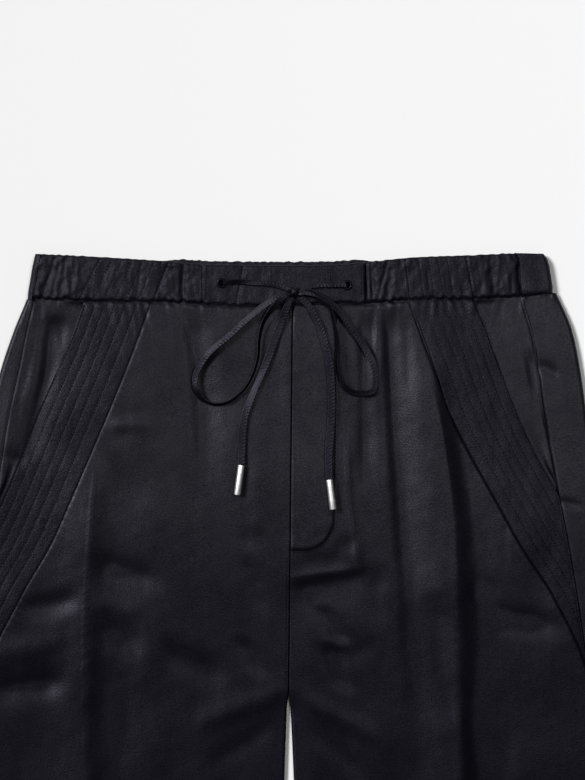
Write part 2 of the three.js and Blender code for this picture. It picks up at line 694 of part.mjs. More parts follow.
// Routes of the drawstring, chosen by hand. Each cord leads from its eyelet to the knot,
// makes a loop, goes back to the knot and hangs on as a tail.
const ROUTES = {
  leadLeft: table("across down lift", [
    [-50.5, 22.6, 1.0],
    [-40, 21.4, 0.6],
    [-28, 22.4, 0.3],
    [-14, 23.4, 0.3],
    [-0.7, 27.4, 0.6],
  ]),
  leadRight: table("across down lift", [
    [42, 24.2, 1.0],
    [32, 24.0, 0.6],
    [20, 24.2, 0.3],
    [7.1, 27.6, 0.6],
  ]),
  loopLeftOut: table("across down lift", [
    [-1.15, 30.6, 3.4],
    [-8.3, 32.5, 3.6],
    [-17.2, 38, 3.2],
    [-32.6, 50.1, 2.6],
    [-45.8, 62.2, 2.2],
    [-59, 73.2, 1.8],
    [-66.7, 83.1, 1.4],
    [-71, 93, 1.1],
    [-70.5, 101.8, 0.9],
    [-65.6, 109.5, 0.8],
    [-56.8, 113.3, 0.8],
  ]),
  loopLeftBack: table("across down lift", [
    [-56.8, 113.3, 0.8],
    [-46.9, 111.7, 0.8],
    [-38.0, 105.7, 0.9],
    [-31.4, 98, 1.2],
    [-26.5, 87.5, 1.6],
    [-23.8, 76.5, 2.2],
    [-23.2, 65.5, 2.8],
    [-20.5, 53.4, 3.2],
    [-13.9, 42.4, 3.4],
    [-6.5, 34.5, 3.6],
    [-1.15, 30.6, 3.4],
  ]),
  loopRightOut: table("across down lift", [
    [7.5, 30.4, 3.4],
    [14.8, 29.2, 3.6],
    [23.5, 34.7, 3.6],
    [30.1, 41.3, 3.2],
    [33.0, 51.2, 2.8],
    [35.4, 62.2, 2.2],
    [36.4, 71, 1.8],
    [36.6, 82, 1.4],
    [37.4, 90.8, 1.2],
    [40.5, 99.6, 1.0],
    [46, 104.2, 0.9],
    [52, 105.2, 0.8],
  ]),
  loopRightBack: table("across down lift", [
    [52, 105.2, 0.8],
    [59.9, 104.6, 0.8],
    [63.2, 101.8, 0.9],
    [64.3, 90.8, 1.2],
    [62, 82, 1.4],
    [55.5, 69.9, 1.8],
    [47.8, 58.9, 2.4],
    [40.1, 47.9, 3.0],
    [32.3, 39.1, 3.4],
    [22.5, 32.2, 3.6],
    [12, 29.6, 3.6],
    [7.5, 30.4, 3.4],
  ]),
  tailLeft: table("across down lift", [
    [0.9, 31.9, 0.6],
    [-2.5, 41.2, 0.5],
    [-7.3, 53.4, 0.4],
    [-12.8, 68.8, 0.3],
    [-17.2, 80.9, 0.3],
    [-23.8, 96.3, 0.3],
    [-29.3, 109.5, 0.3],
    [-33.7, 121.6, 0.3],
    [-35.6, 134, 0.3],
    [-36.2, 147, 0.3],
    [-36.3, 158.4, 1.0],
  ]),
  tailRight: table("across down lift", [
    [5.7, 32.1, 0.6],
    [12.4, 38.0, 0.5],
    [16.9, 44, 0.5],
    [22.4, 55.6, 0.4],
    [26.5, 68.8, 0.3],
    [29.4, 82, 0.3],
    [30.6, 93, 0.3],
    [31.0, 104, 0.3],
    [31.2, 118, 0.3],
    [30.4, 134, 0.3],
    [29.0, 150, 0.3],
    [29.4, 169.2, 1.0],
  ]),
};
const KNOT_AT = { across: 3.2, down: 29.4 };
const TIPS = {
  left: { across: -36.4, down: 158.9, lean: -8 },
  right: { across: 29.5, down: 169.7, lean: 7 },
};

function cordLoop(out, back) {
  const halves = [out, back].map((route) => toSolid(cordGeometry(route, LOOP, 8)));
  return fromSolid(halves[0].add(halves[1]));
}

function knotBall() {
  const ball = new THREE.SphereGeometry(1, 14, 10);
  ball.scale(KNOT.across, KNOT.down, KNOT.high);
  const floor = 2 * CASING_FOLD + GATHER_RISE + SEAM;
  const at = place(KNOT_AT.across, KNOT_AT.down, floor + KNOT.high);
  ball.translate(at.x, at.y, at.z);
  return fromSolid(toSolid(ball));
}

// A round metal tip, which starts at the cord's end and leans across the page
function cordTip(tip) {
  const { radius, long, rim } = TIP;
  const profile = [
    [0, 0],
    [radius - rim, 0],
    [radius, rim],
    [radius, long - rim],
    [radius - rim, long],
    [0, long],
  ].map(([x, y]) => new THREE.Vector2(x, y));
  const body = new THREE.LatheGeometry(profile, 16);
  body.rotateX(Math.PI);
  body.rotateZ((tip.lean * Math.PI) / 180);
  const end = tip.down + long;
  const floor = Math.max(restsAt(tip.across, tip.down), restsAt(tip.across, end));
  const at = place(tip.across, tip.down, floor + radius);
  body.translate(at.x, at.y, at.z);
  return body;
}

for (const side of ["left", "right"]) {
  addPiece(`front_${side}`, frontPanel(side), SATIN);
  addPiece(`back_${side}`, backPanel(side), SATIN);
  addPiece(`pocket_band_${side}`, pocketBand(side), SATIN);
  addPiece(`pocket_facing_${side}`, pocketFacing(side), SATIN);
  addPiece(`waist_${side}`, casingSide(side), SATIN);
}
addPiece("waist_back", casingBack(), SATIN);
addPiece("waist_centre", casingCentre(), SATIN);
addPiece("mock_fly", mockFly(), SATIN);

for (const [side, eyelet] of Object.entries(EYELETS)) {
  const ring = addPiece(`eyelet_${side}`, eyeletRing(), DARK_METAL);
  ring.position.copy(place(eyelet.across, eyelet.down, CENTRE_TOP));
}
addPiece("cord_lead_left", cordGeometry(ROUTES.leadLeft, LEAD, 10), SATIN);
addPiece("cord_lead_right", cordGeometry(ROUTES.leadRight, LEAD, 10), SATIN);
addPiece("cord_loop_left", cordLoop(ROUTES.loopLeftOut, ROUTES.loopLeftBack), SATIN);
addPiece("cord_loop_right", cordLoop(ROUTES.loopRightOut, ROUTES.loopRightBack), SATIN);
addPiece("cord_tail_left", cordGeometry(ROUTES.tailLeft, TAIL, 11), SATIN);
addPiece("cord_tail_right", cordGeometry(ROUTES.tailRight, TAIL, 11), SATIN);
addPiece("cord_knot", knotBall(), SATIN);
addPiece("cord_tip_left", cordTip(TIPS.left), STEEL);
addPiece("cord_tip_right", cordTip(TIPS.right), STEEL);

export default trousers;
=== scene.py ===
import math
from functools import partial
import bpy
import numpy as np
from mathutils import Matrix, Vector


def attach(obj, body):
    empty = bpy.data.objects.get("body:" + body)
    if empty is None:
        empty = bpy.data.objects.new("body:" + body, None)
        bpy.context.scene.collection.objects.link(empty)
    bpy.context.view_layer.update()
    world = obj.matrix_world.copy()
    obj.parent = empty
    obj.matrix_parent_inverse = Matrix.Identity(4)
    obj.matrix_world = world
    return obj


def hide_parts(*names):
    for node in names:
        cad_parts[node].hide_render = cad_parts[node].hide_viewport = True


# Black satin trousers with a drawstring, laid flat and seen from straight above.
# The shape functions work in millimetres: across is to the right of the middle line,
# down is from the waist's top line towards the hems. putWall and putMesh turn them to metres.

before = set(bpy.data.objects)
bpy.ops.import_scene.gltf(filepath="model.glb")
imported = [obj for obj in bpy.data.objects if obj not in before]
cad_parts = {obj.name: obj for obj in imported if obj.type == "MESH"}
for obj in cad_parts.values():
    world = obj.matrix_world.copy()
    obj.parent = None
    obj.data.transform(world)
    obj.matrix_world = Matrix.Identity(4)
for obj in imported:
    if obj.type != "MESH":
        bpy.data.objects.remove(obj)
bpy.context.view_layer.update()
mm = 0.001
garmentLength = 1040.0
print("frame loaded")


def smoothStep(low, high, value):
    # 3t^2 - 2t^3 between low and high
    t = np.clip((value - low) / (high - low), 0, 1)
    return t * t * (3 - 2 * t)


def blendTo(a, b, t):
    # a at t = 0, b at t = 1 and a straight line between them
    return a + (b - a) * t


def readTable(columns, rows):
    # a dictionary with one array for each named column
    return dict(zip(columns.split(), np.array(rows, float).T))


def rowsOf(table):
    # the same table as one small dictionary for each row
    return [dict(zip(table, row)) for row in zip(*table.values())]


def follow(table, by, column, at):
    # cubic through the rows of a table, with each row's slope taken from its two neighbours
    xs, ys = table[by], table[column]
    at = np.asarray(at, float)
    slope = np.zeros(len(ys))
    slope[1:-1] = (ys[2:] - ys[:-2]) / (xs[2:] - xs[:-2])
    slope[0] = (ys[1] - ys[0]) / (xs[1] - xs[0])
    slope[-1] = (ys[-1] - ys[-2]) / (xs[-1] - xs[-2])
    i = np.clip(np.searchsorted(xs, at, side="right") - 1, 0, len(xs) - 2)
    step = xs[i + 1] - xs[i]
    t = np.clip((at - xs[i]) / step, 0, 1)
    rise = ys[i + 1] - ys[i]
    m0, m1 = slope[i] * step, slope[i + 1] * step
    return ys[i] + t * (m0 + t * (3 * rise - 2 * m0 - m1 + t * (m0 + m1 - 2 * rise)))


# How far from the middle line the seams lie, for each section down the body
sections = {
    "right": readTable("down band mouth seam fold", [
        (20, 84, 133, 172, 195), (35, 89.3, 138, 174, 199), (60, 98.5, 147.8, 181.5, 211.3),
        (90, 109.5, 158.8, 186.8, 218.6), (120, 120.0, 170.3, 190.7, 223.0),
        (150, 134.5, 184.2, 196.5, 226.5), (185, 153.8, 204.0, 203.0, 229.2),
        (220, 173.3, 224.0, 209.6, 231.4), (260, 198.8, 246.0, 216.3, 233.5),
        (318, 224.0, 270.0, 224.0, 236.5), (450, 233.5, 280.0, 233.5, 241.0),
        (700, 241.0, 290.0, 241.0, 247.0), (1040, 247.0, 300.0, 247.0, 253.0)]),
    "left": readTable("down band mouth seam fold", [
        (20, 98, 148, 190, 194), (35, 103.5, 154.0, 192.0, 197.0), (60, 112.5, 163.0, 198.0, 207.5),
        (90, 124.0, 176.0, 204.0, 218.0), (120, 136.3, 189.5, 210.5, 224.4),
        (150, 149.0, 201.5, 215.5, 228.5), (185, 164.0, 216.0, 220.5, 231.7),
        (220, 180.0, 233.0, 224.0, 234.0), (260, 203.0, 255.0, 226.5, 236.0),
        (318, 228.5, 280.0, 228.5, 238.2), (450, 234.5, 290.0, 234.5, 241.6),
        (700, 241.0, 295.0, 241.0, 247.0), (1040, 247.0, 300.0, 247.0, 253.0)]),
}
waist = readTable("across top seam", [
    (-197, 0.5, 34.5), (-158, 2.0, 36.4), (-100, 5.5, 37.0), (-66, 8.2, 38.6), (-40, 8.8, 40.2),
    (0, 9.0, 40.0), (33, 8.6, 38.5), (58, 6.6, 38.4), (92, 3.2, 35.5), (138, 1.4, 35.0),
    (172, 0.0, 33.2), (197, 0.5, 29.8)])
heights = readTable("down body sideFold innerFold", [
    (30, 6.4, 3.3, 2.3), (80, 7.2, 3.4, 2.3), (200, 7.0, 3.3, 2.3), (330, 5.2, 3.0, 2.3),
    (400, 5.2, 2.9, 2.3), (700, 5.3, 2.7, 2.2), (1040, 5.0, 2.5, 2.2)])
cloth = {
    "thick": 1.4, "seamRoll": 0.8, "casing": 3.0, "seam": 0.3, "pressed": 0.3, "casingFold": 4.5,
    "casingSide": 196.0, "crotch": 334.0, "legGap": 44.0, "firstRow": 38.0, "bandEnd": 318.0,
    "seamHeight": 6.6, "lowestTop": 3.3, "hem": 25.0, "hemExtra": 0.6,
}

# The long folds run down the garment: rise is negative for a trough, near and far are the
# half widths on the page's left and right, grow widens them on the way down, and the two
# fades are lengths along the fold.
longFolds = readTable("start across0 middle across1 end across2 rise near far grow fadeIn fadeOut", [
    (36, -78, 90, -68, 235, -62, -2.9, 6, 11, 0.5, 0.1, 120),     # left leg, from the casing's deep crease
    (130, -145, 300, -154, 1060, -134, 2.9, 22, 8, 0, 70, 0.1),  # left crease
    (150, -145.5, 300, -153.5, 1060, -134, 0.6, 1.2, 1.0, 0, 25, 0.1),
    (140, -128, 300, -134, 640, -126, -2.0, 9, 20, 0.2, 50, 320),
    (48, -0.5, 110, -0.5, 165, -0.5, 1.3, 8, 3, 0.2, 25, 60),
    (140, -24, 185, -24, 226, -21, 1.0, 7, 7, 0.2, 30, 25),
    (222, -35, 250, -27, 276, -20, -1.4, 7, 8, 0, 16, 18),
    (286, -38, 303, -30, 322, -22, -1.6, 6, 7, 0, 12, 12),
    (46, -171, 58, -171, 76, -172, -0.6, 3, 3, 0, 6, 12),
    (44, -178, 100, -185, 165, -202, -2.1, 4, 8, 0.2, 10, 24),
    (60, -199, 90, -203, 150, -212, -0.6, 4, 4, 0, 20, 30),
    (36, 74, 150, 80.5, 420, 104, -3.4, 5, 10, 0.9, 0.1, 170),         # right leg, under the gathers
    (36, 61, 50, 61.5, 76, 62, -1.9, 2.2, 2.2, 0, 0.1, 26),
    (40, 55, 110, 56, 185, 57, -1.6, 4, 6, 0.3, 14, 50),
    (36, 88, 80, 89, 125, 90, -0.9, 4, 6, 0, 0.1, 45),
    (42, 93, 60, 99, 92, 110, -0.7, 4, 6, 0, 8, 22),
    (70, 100, 215, 123.3, 1060, 134, 3.3, 24, 7, 0, 60, 0.1),      # right crease
    (110, 111, 215, 123.3, 1060, 134, 0.6, 1.2, 1.0, 0, 25, 0.1),
    (80, 116, 215, 141, 640, 152, -2.9, 8, 18, 0.3, 45, 300),
    (120, 43, 180, 44.3, 245, 54, 0.9, 6, 4, 0, 40, 20),
    (120, 43, 180, 44.3, 250, 54, 0.45, 1.2, 1.2, 0, 40, 10),
    (120, 56, 160, 57, 230, 62, -0.6, 5, 7, 0.3, 30, 40),
    (250, 106, 300, 114, 360, 121, -1.8, 8, 10, 0, 24, 24),
    (200, 161, 220, 161.5, 242, 162, -0.6, 1.5, 2, 0, 8, 12),
    (70, 180, 95, 184, 150, 196, -1.4, 4, 2.5, 0, 14, 30),
    (262, 24, 278, 32, 296, 41, -2.2, 8, 7, 0, 12, 10),
    (290, 28, 310, 35, 334, 44, -2.2, 8, 7, 0, 12, 14),
    (230, 70, 252, 64, 290, 62, -1.5, 7, 9, 0, 20, 26),
    (200, 196, 250, 188, 330, 176, -1.6, 14, 10, 0, 40, 50),
    (420, -180, 640, -190, 900, -178, 1.3, 16, 12, 0, 90, 120),    # the legs below the photo's edge
    (340, -60, 600, -90, 980, -78, 1.6, 18, 12, 0, 90, 160),
    (360, -38, 600, -62, 860, -58, -1.3, 12, 12, 0, 90, 140),
    (400, 156, 640, 176, 940, 164, 1.5, 16, 12, 0, 90, 140),
    (350, 52, 620, 84, 990, 92, 1.6, 14, 16, 0, 90, 160),
    (380, 30, 600, 52, 830, 60, -1.3, 10, 12, 0, 80, 120),
    (560, -206, 700, -214, 860, -208, -0.9, 7, 9, 0, 60, 80),
    (620, 112, 760, 106, 900, 112, -1.0, 8, 10, 0, 60, 70),
    (700, -104, 820, -98, 960, -104, -0.9, 9, 8, 0, 60, 70),
])

# The cross folds run across it; near is towards the waist
crossFolds = readTable("start down0 end down1 rise near far", [
    (0, 243.5, 54, 236.5, 1.0, 2.6, 6), (2, 254, 58, 242, -3.0, 7.5, 20), (6, 233, 46, 230, -0.9, 6, 7),
    (34, 222, 49, 218, -1.0, 7, 8), (-146, 233, -100, 246, -1.9, 9, 10),
    (-146, 284, -110, 294, -1.2, 9, 10), (-150, 262, -110, 270, 1.2, 9, 9),
    (-136, 129, -104, 128.5, 0.8, 4.4, 5.5), (-130, 120, -104, 120.5, -0.3, 6, 5),
    (-234, 306, -172, 292, 1.7, 10, 12), (-200, 268, -160, 260, -2.2, 8, 8),
    (-226, 330, -170, 322, -2.4, 9, 10),
    (-38, 214, -18, 214, -0.7, 8, 8), (152, 275, 204, 281, -2.2, 9, 9), (136, 252, 156, 256, -1.4, 8, 8),
    (186, 84, 202, 91, -1.2, 5, 5), (202, 186, 220, 190, -0.9, 3, 3), (-216, 152, -198, 158, -0.9, 5, 5),
    (-96, 300, -50, 318, -2.0, 11, 12), (-70, 352, -6, 330, 1.5, 8, 8), (6, 334, 64, 362, 1.5, 8, 8),
    (30, 304, 64, 296, -0.8, 9, 9), (-60, 384, -12, 356, -1.0, 8, 8), (10, 356, 56, 390, -1.0, 8, 8),
    (-236, 512, -190, 520, 0.8, 8, 9), (196, 596, 240, 588, 0.8, 8, 9), (-120, 690, -70, 702, -0.8, 9, 9),
    (100, 560, 150, 548, -0.8, 9, 9), (60, 800, 110, 812, 0.7, 9, 9),
])


def sideLine(side, name, down):
    # how far a seam or the fold lies from the middle line at a height
    return follow(sections[side], "down", name, down)


def signOf(side):
    # across is positive on the page's right
    return 1.0 if side == "right" else -1.0


def waistTop(across):
    # down of the casing's top fold
    return follow(waist, "across", "top", across)


def waistSeam(across):
    # down of the seam between the casing and the panels
    return follow(waist, "across", "seam", across)


def legShare(down):
    # 0 above the crotch, where the two sides are joined, and 1 on the parted legs
    return smoothStep(cloth["crotch"] - 8, cloth["crotch"] + 14, down)


def innerEdge(side, down):
    # the centre line leans a little, and below the crotch it opens into the two inner legs
    crotch = cloth["crotch"]
    lean = blendTo(2.0, -1.0, np.clip((down - 35) / (crotch - 35), 0, 1))
    legs = np.maximum(0, down - crotch) / (garmentLength - crotch)
    parted = 0.7 * smoothStep(crotch - 6, crotch + 8, down)
    gap = (cloth["legGap"] / 2 - 1) * legs ** 0.85
    joined = 0.01 + 0.14 * smoothStep(crotch - 4, crotch, down)
    return lean + np.clip(legs * 4, 0, 1) + signOf(side) * (joined + parted + gap)


def bell(distance, near, far):
    # exp(-(d/w)^2) with a width of its own on each side
    return np.exp(-(distance / np.where(distance < 0, near, far)) ** 2)


def longFoldHeight(across, down):
    # sum of rise * bell(distance from the fold's curved line), faded in and out along the line
    total = np.zeros(np.broadcast(across, down).shape)
    for fold in rowsOf(longFolds):
        path = {"down": np.array([fold["start"], fold["middle"], fold["end"]]),
                "across": np.array([fold["across0"], fold["across1"], fold["across2"]])}
        centre = follow(path, "down", "across", down)
        strength = smoothStep(fold["start"], fold["start"] + fold["fadeIn"], down)
        strength = strength * (1 - smoothStep(fold["end"] - fold["fadeOut"], fold["end"], down))
        along = np.clip((down - fold["start"]) / (fold["end"] - fold["start"]), 0, 1)
        spread = 1 + fold["grow"] * along
        total += strength * fold["rise"] * bell((across - centre) / spread, fold["near"], fold["far"])
    return total


def crossFoldHeight(across, down):
    # sum of rise * bell(distance below the fold's straight line), faded at both ends
    total = np.zeros(np.broadcast(across, down).shape)
    for fold in rowsOf(crossFolds):
        t = (across - fold["start"]) / (fold["end"] - fold["start"])
        strength = smoothStep(-0.15, 0.25, t) * (1 - smoothStep(0.75, 1.15, t))
        centre = blendTo(fold["down0"], fold["down1"], t)
        total += strength * fold["rise"] * bell(down - centre, fold["near"], fold["far"])
    return total


def softNoise(across, down, size, seed):
    # a sum of ten plane waves with seeded directions, lengths near size and seeded phases
    draws = np.random.default_rng(seed).random((10, 3))
    total = np.zeros(np.broadcast(across, down).shape)
    for turn, length, phase in draws:
        wave = 2 * math.pi / (size * (0.7 + 0.8 * length))
        direction = math.cos(turn * math.tau) * across + math.sin(turn * math.tau) * down
        total += np.sin(wave * direction + phase * math.tau)
    return total / 4


def gatherWave(across):
    # an uneven ripple: two sines whose phases wander
    slow = np.sin(2 * math.pi * across / 7.6 + 1.9 * np.sin(across / 9.1))
    return 0.6 * slow + 0.4 * np.sin(2 * math.pi * across / 12.3 + 2.3 * np.sin(across / 14.7))


def gathersUnderWaist(across, down):
    # ripples that start at the casing's seam and die out below it, weak under the flat centre
    below = down - waistSeam(across)
    gathered = 1 - smoothStep(-74, -60, across) * (1 - smoothStep(52, 62, across))
    reach = 9 + 5 * np.sin(across / 11.0)
    lean = across + 0.16 * below * np.sign(across)
    fine = softNoise(lean, 0.3 * below, 7.0, 27) * np.exp(-np.maximum(below, 0) / 7)
    folds = gatherWave(lean) * np.exp(-np.maximum(below, 0) / reach)
    return (0.12 + 0.62 * gathered) * folds + (0.15 + 0.35 * gathered) * fine


def clothHeight(across, down):
    # body height + folds + gathers + soft unevenness, blended to the rounds at the sides
    across, down = np.broadcast_arrays(np.asarray(across, float), np.asarray(down, float))
    middle = (innerEdge("left", down) + innerEdge("right", down)) / 2
    isRight = across > middle
    z = follow(heights, "down", "body", down) + longFoldHeight(across, down)
    z = z + crossFoldHeight(across, down) + 0.75 * softNoise(across, down * 0.8, 90, 5)
    z = z + 0.26 * softNoise(across, down * 0.7, 38, 15) + 0.07 * softNoise(across, down, 15, 8)
    z = z + 0.012 * softNoise(across, down, 5.0, 9)
    z = np.maximum(z, cloth["lowestTop"])
    sideRadius = follow(heights, "down", "sideFold", down)
    fold = np.where(isRight, sideLine("right", "fold", down), sideLine("left", "fold", down))
    z = blendTo(2 * sideRadius, z, smoothStep(0, 16, fold - sideRadius - np.abs(across)))
    innerRadius = follow(heights, "down", "innerFold", down)
    edge = np.where(isRight, innerEdge("right", down), innerEdge("left", down))
    rounded = blendTo(2 * innerRadius, z, smoothStep(0, 14, np.abs(across - edge) - innerRadius))
    z = blendTo(z, rounded, legShare(down))
    z = blendTo(cloth["seamHeight"], z, smoothStep(0, 26, down - waistSeam(across)))
    return z + gathersUnderWaist(across, down)


def rowDown(across, row, seam=None):
    # rows near the waist bend: row + shift * (1 - share of the way down the first 60 mm)
    seam = waistSeam(across) if seam is None else seam
    shift = seam + cloth["seam"] - cloth["firstRow"]
    return row + shift * (1 - np.clip((row - cloth["firstRow"]) / 60, 0, 1))


hemTop = garmentLength - cloth["hem"]


def clothThick(down):
    # the wall is thicker where the hem is folded up inside it
    return cloth["thick"] + cloth["hemExtra"] * smoothStep(hemTop - 6, hemTop, down)


def edgeRoll(distance, drop, width):
    # an edge turned down: drop times exp(-(d/width)^2)
    return -drop * np.exp(-(distance / width) ** 2)


def groove(distance, depth, width):
    # the narrow trough that a row of stitches pulls into the cloth: -depth * exp(-(d/width)^2)
    return -depth * np.exp(-(distance / width) ** 2)


def hemStep(down):
    # the ditch of the hem's stitches and the small step below it
    return groove(down - hemTop, 0.25, 0.8) + 0.25 * smoothStep(hemTop - 1, hemTop + 3, down)


# Making meshes

def putInScene(name, data):
    # a new object for a mesh, lamp or camera
    made = bpy.data.objects.new(name, data)
    bpy.context.scene.collection.objects.link(made)
    return made


def putMesh(name, points, faces, uv, material, smoothAngle=55):
    # points in millimetres (across, down, z) become metres, with the waist at +Y
    mesh = bpy.data.meshes.new(name)
    places = np.stack([points[:, 0], garmentLength / 2 - points[:, 1], points[:, 2]], axis=1) * mm
    mesh.from_pydata(places.tolist(), [], faces)
    layer = mesh.uv_layers.new(name="clothUV")
    corners = np.empty(len(mesh.loops), np.int64)
    mesh.loops.foreach_get("vertex_index", corners)
    layer.data.foreach_set("uv", (uv[corners] * mm).astype(np.float32).ravel())
    mesh.polygons.foreach_set("use_smooth", np.ones(len(mesh.polygons), bool))
    mesh.update()
    mesh.set_sharp_from_angle(angle=math.radians(smoothAngle))
    mesh.materials.append(material)
    return putInScene(name, mesh)


def gridFaces(index):
    # quads between neighbouring rows and columns of an index grid
    return np.stack([index[:-1, :-1], index[1:, :-1], index[1:, 1:], index[:-1, 1:]], axis=-1).reshape(-1, 4)


def stripFaces(a, b):
    # quads between two lines of points
    return np.stack([a[:-1], a[1:], b[1:], b[:-1]], axis=-1)


def insideOut(points, faces):
    # six times the signed volume of quads as fans of triangles, in a frame where down runs to -Y
    a, b, c, d = (points[faces[:, k]] * (1, -1, 1) for k in range(4))
    return np.sum(np.einsum("ij,ij->i", a, np.cross(b, c)) + np.einsum("ij,ij->i", a, np.cross(c, d))) < 0


def putWall(name, outer, inner, material):
    # a closed wall between two grids of points with the same rows and columns
    rows, columns = outer.shape[:2]
    count = rows * columns
    top = np.arange(count).reshape(rows, columns)
    under = top + count
    faces = np.concatenate([
        gridFaces(top), gridFaces(under)[:, ::-1],
        stripFaces(top[:, 0], under[:, 0])[:, ::-1], stripFaces(top[:, -1], under[:, -1]),
        stripFaces(top[0], under[0]), stripFaces(top[-1], under[-1])[:, ::-1]])
    points = np.concatenate([outer.reshape(-1, 3), inner.reshape(-1, 3)])
    if insideOut(points, faces):
        faces = faces[:, ::-1]
    return putMesh(name, points, faces.tolist(), points[:, :2], material)


def putLayer(name, across, down, z, under, material):
    # a wall whose top and under side lie straight above each other
    outer, inner = (np.stack([across, down, height], axis=-1) for height in (z, under))
    return putWall(name, outer, inner, material)


def panelRows(first):
    # rows are close together where the photo looks, and wider down the legs
    near = np.concatenate([first, np.arange(cloth["firstRow"] + 0.6, 330, 1.7)])
    legs = np.arange(331, 430, 3.2)
    far = np.linspace(434, garmentLength - cloth["hem"] - 8, 90)
    hem = np.linspace(garmentLength - cloth["hem"] - 5, garmentLength, 9)
    return np.concatenate([near, legs, far, hem])


# The camera, straight above; the picture's middle looks at aimAcross and aimDown

camera = {"aimAcross": 1.9, "aimDown": 102.7, "height": 1633.0, "lens": 100.0, "sensor": 36.0}
cameraData = bpy.data.cameras.new("photoCamera")
cameraData.lens, cameraData.sensor_width = camera["lens"], camera["sensor"]
photoCamera = putInScene("photoCamera", cameraData)
photoCamera.location = Vector(
    (camera["aimAcross"], garmentLength / 2 - camera["aimDown"], camera["height"])) * mm
bpy.context.scene.camera = photoCamera
print("camera placed")


# Materials

def setInputs(tree, node, values):
    # links a value that is a socket, and types in a plain one
    for label, value in values.items():
        if isinstance(value, bpy.types.NodeSocket):
            tree.links.new(value, node.inputs[label])
        else:
            node.inputs[label].default_value = value


def addNode(tree, kind, inputs=None, **settings):
    node = tree.nodes.new(kind)
    for key, value in settings.items():
        setattr(node, key, value)
    setInputs(tree, node, inputs or {})
    return node


def mathNode(tree, operation, a, b=0.0, c=0.0):
    return addNode(tree, "ShaderNodeMath", {0: a, 1: b, 2: c}, operation=operation).outputs[0]


def objectPlace(tree):
    return addNode(tree, "ShaderNodeTexCoord").outputs["Object"]


def noiseNode(tree, place, scale, detail):
    return addNode(tree, "ShaderNodeTexNoise", {
        "Vector": place, "Scale": scale, "Detail": detail, "Roughness": 0.5}).outputs["Fac"]


def mixColours(tree, factor, first, second, **settings):
    # a colour between two others; inputs 6 and 7 are the mix node's colour sockets
    return addNode(tree, "ShaderNodeMix", {"Factor": factor, 6: (*first, 1), 7: (*second, 1)},
                   data_type="RGBA", **settings).outputs[2]


def newMaterial(name):
    # a material with its node tree and its shader
    material = bpy.data.materials.new(name)
    material.use_nodes = True
    return material, material.node_tree, material.node_tree.nodes["Principled BSDF"]


def newGroup(name, ins, outs):
    # a shader node group whose named sockets are all plain values
    group = bpy.data.node_groups.new(name, "ShaderNodeTree")
    for labels, side in ((ins, "INPUT"), (outs, "OUTPUT")):
        for label in labels:
            group.interface.new_socket(name=label, in_out=side, socket_type="NodeSocketFloat")
    return group, group.nodes.new("NodeGroupInput").outputs, group.nodes.new("NodeGroupOutput")


def clothGroup():
    # Tone is slow and fine noise that darkens the colour; Height is crumple + weave + grain;
    # the sheen output is mottled by patches, crumple and grain, and is painted shade that falls down the
    # garment as the light fades
    group, ins, out = newGroup("clothSurface", ["Crumple", "Weave", "Mottle"],
                               ["Tone", "Roughness", "Height", "SheenAndPaintedShade"])
    place = objectPlace(group)
    slow, patch, fine = (noiseNode(group, place, scale, detail)
                         for scale, detail in ((11.0, 2.0), (46.0, 3.0), (980.0, 1.0)))
    stretched = addNode(group, "ShaderNodeMapping", {
        "Vector": place, "Scale": (1.0, 0.45, 1.0), "Rotation": (0.0, 0.0, 0.12)}).outputs[0]
    crumple = noiseNode(group, stretched, 95.0, 2.0)
    weaveAcross = addNode(group, "ShaderNodeTexWave", {
        "Vector": place, "Scale": 330.0, "Distortion": 0.6}, bands_direction="DIAGONAL").outputs["Fac"]
    weaveDown = addNode(group, "ShaderNodeTexWave", {
        "Vector": place, "Scale": 520.0, "Distortion": 0.4}, bands_direction="Y").outputs["Fac"]
    weave = mathNode(group, "ADD", mathNode(group, "MULTIPLY", weaveAcross, 0.6),
                     mathNode(group, "MULTIPLY", weaveDown, 0.4))
    tone = mathNode(group, "MULTIPLY_ADD", slow, 0.55, 0.55)
    tone = mathNode(group, "MULTIPLY_ADD", patch, 0.35, tone)
    tone = mathNode(group, "MULTIPLY", tone, mathNode(group, "MULTIPLY_ADD", fine, 0.5, 0.75))
    roughness = mathNode(group, "MULTIPLY_ADD", patch, 0.12, -0.10)
    roughness = mathNode(group, "MULTIPLY_ADD", fine, 0.1, roughness)
    # painted shade: the coat weight falls from 1 at 140 mm below the waist to 0.56 at 330 mm, darker towards
    # the hems as the light fades
    upTheGarment = addNode(group, "ShaderNodeSeparateXYZ", {"Vector": place}).outputs["Y"]
    sheenAndPaintedShade = addNode(group, "ShaderNodeMapRange", {
        "Value": upTheGarment, "From Min": 0.38, "From Max": 0.19, "To Min": 1.0, "To Max": 0.56},
        interpolation_type="SMOOTHSTEP").outputs["Result"]
    mottle = mathNode(group, "MULTIPLY_ADD", patch, 1.2, mathNode(group, "MULTIPLY", crumple, 2.0))
    mottle = mathNode(group, "MULTIPLY_ADD", mathNode(group, "SUBTRACT", mottle, 1.6), ins["Mottle"], 1.0)
    sheenAndPaintedShade = mathNode(group, "MULTIPLY", sheenAndPaintedShade, mottle)
    sheenAndPaintedShade = mathNode(group, "MULTIPLY", sheenAndPaintedShade, mathNode(group, "MULTIPLY_ADD", fine, 1.6, 0.2))
    height = mathNode(group, "MULTIPLY", crumple, ins["Crumple"])
    height = mathNode(group, "MULTIPLY_ADD", weave, mathNode(group, "MULTIPLY", ins["Weave"], 0.06), height)
    height = mathNode(group, "MULTIPLY_ADD", fine, 0.5, height)
    setInputs(group, out, {"Tone": tone, "Roughness": roughness, "Height": height, "SheenAndPaintedShade": sheenAndPaintedShade})
    return group


clothSurface = clothGroup()


specularTint = (0.40, 0.25, 1.0)


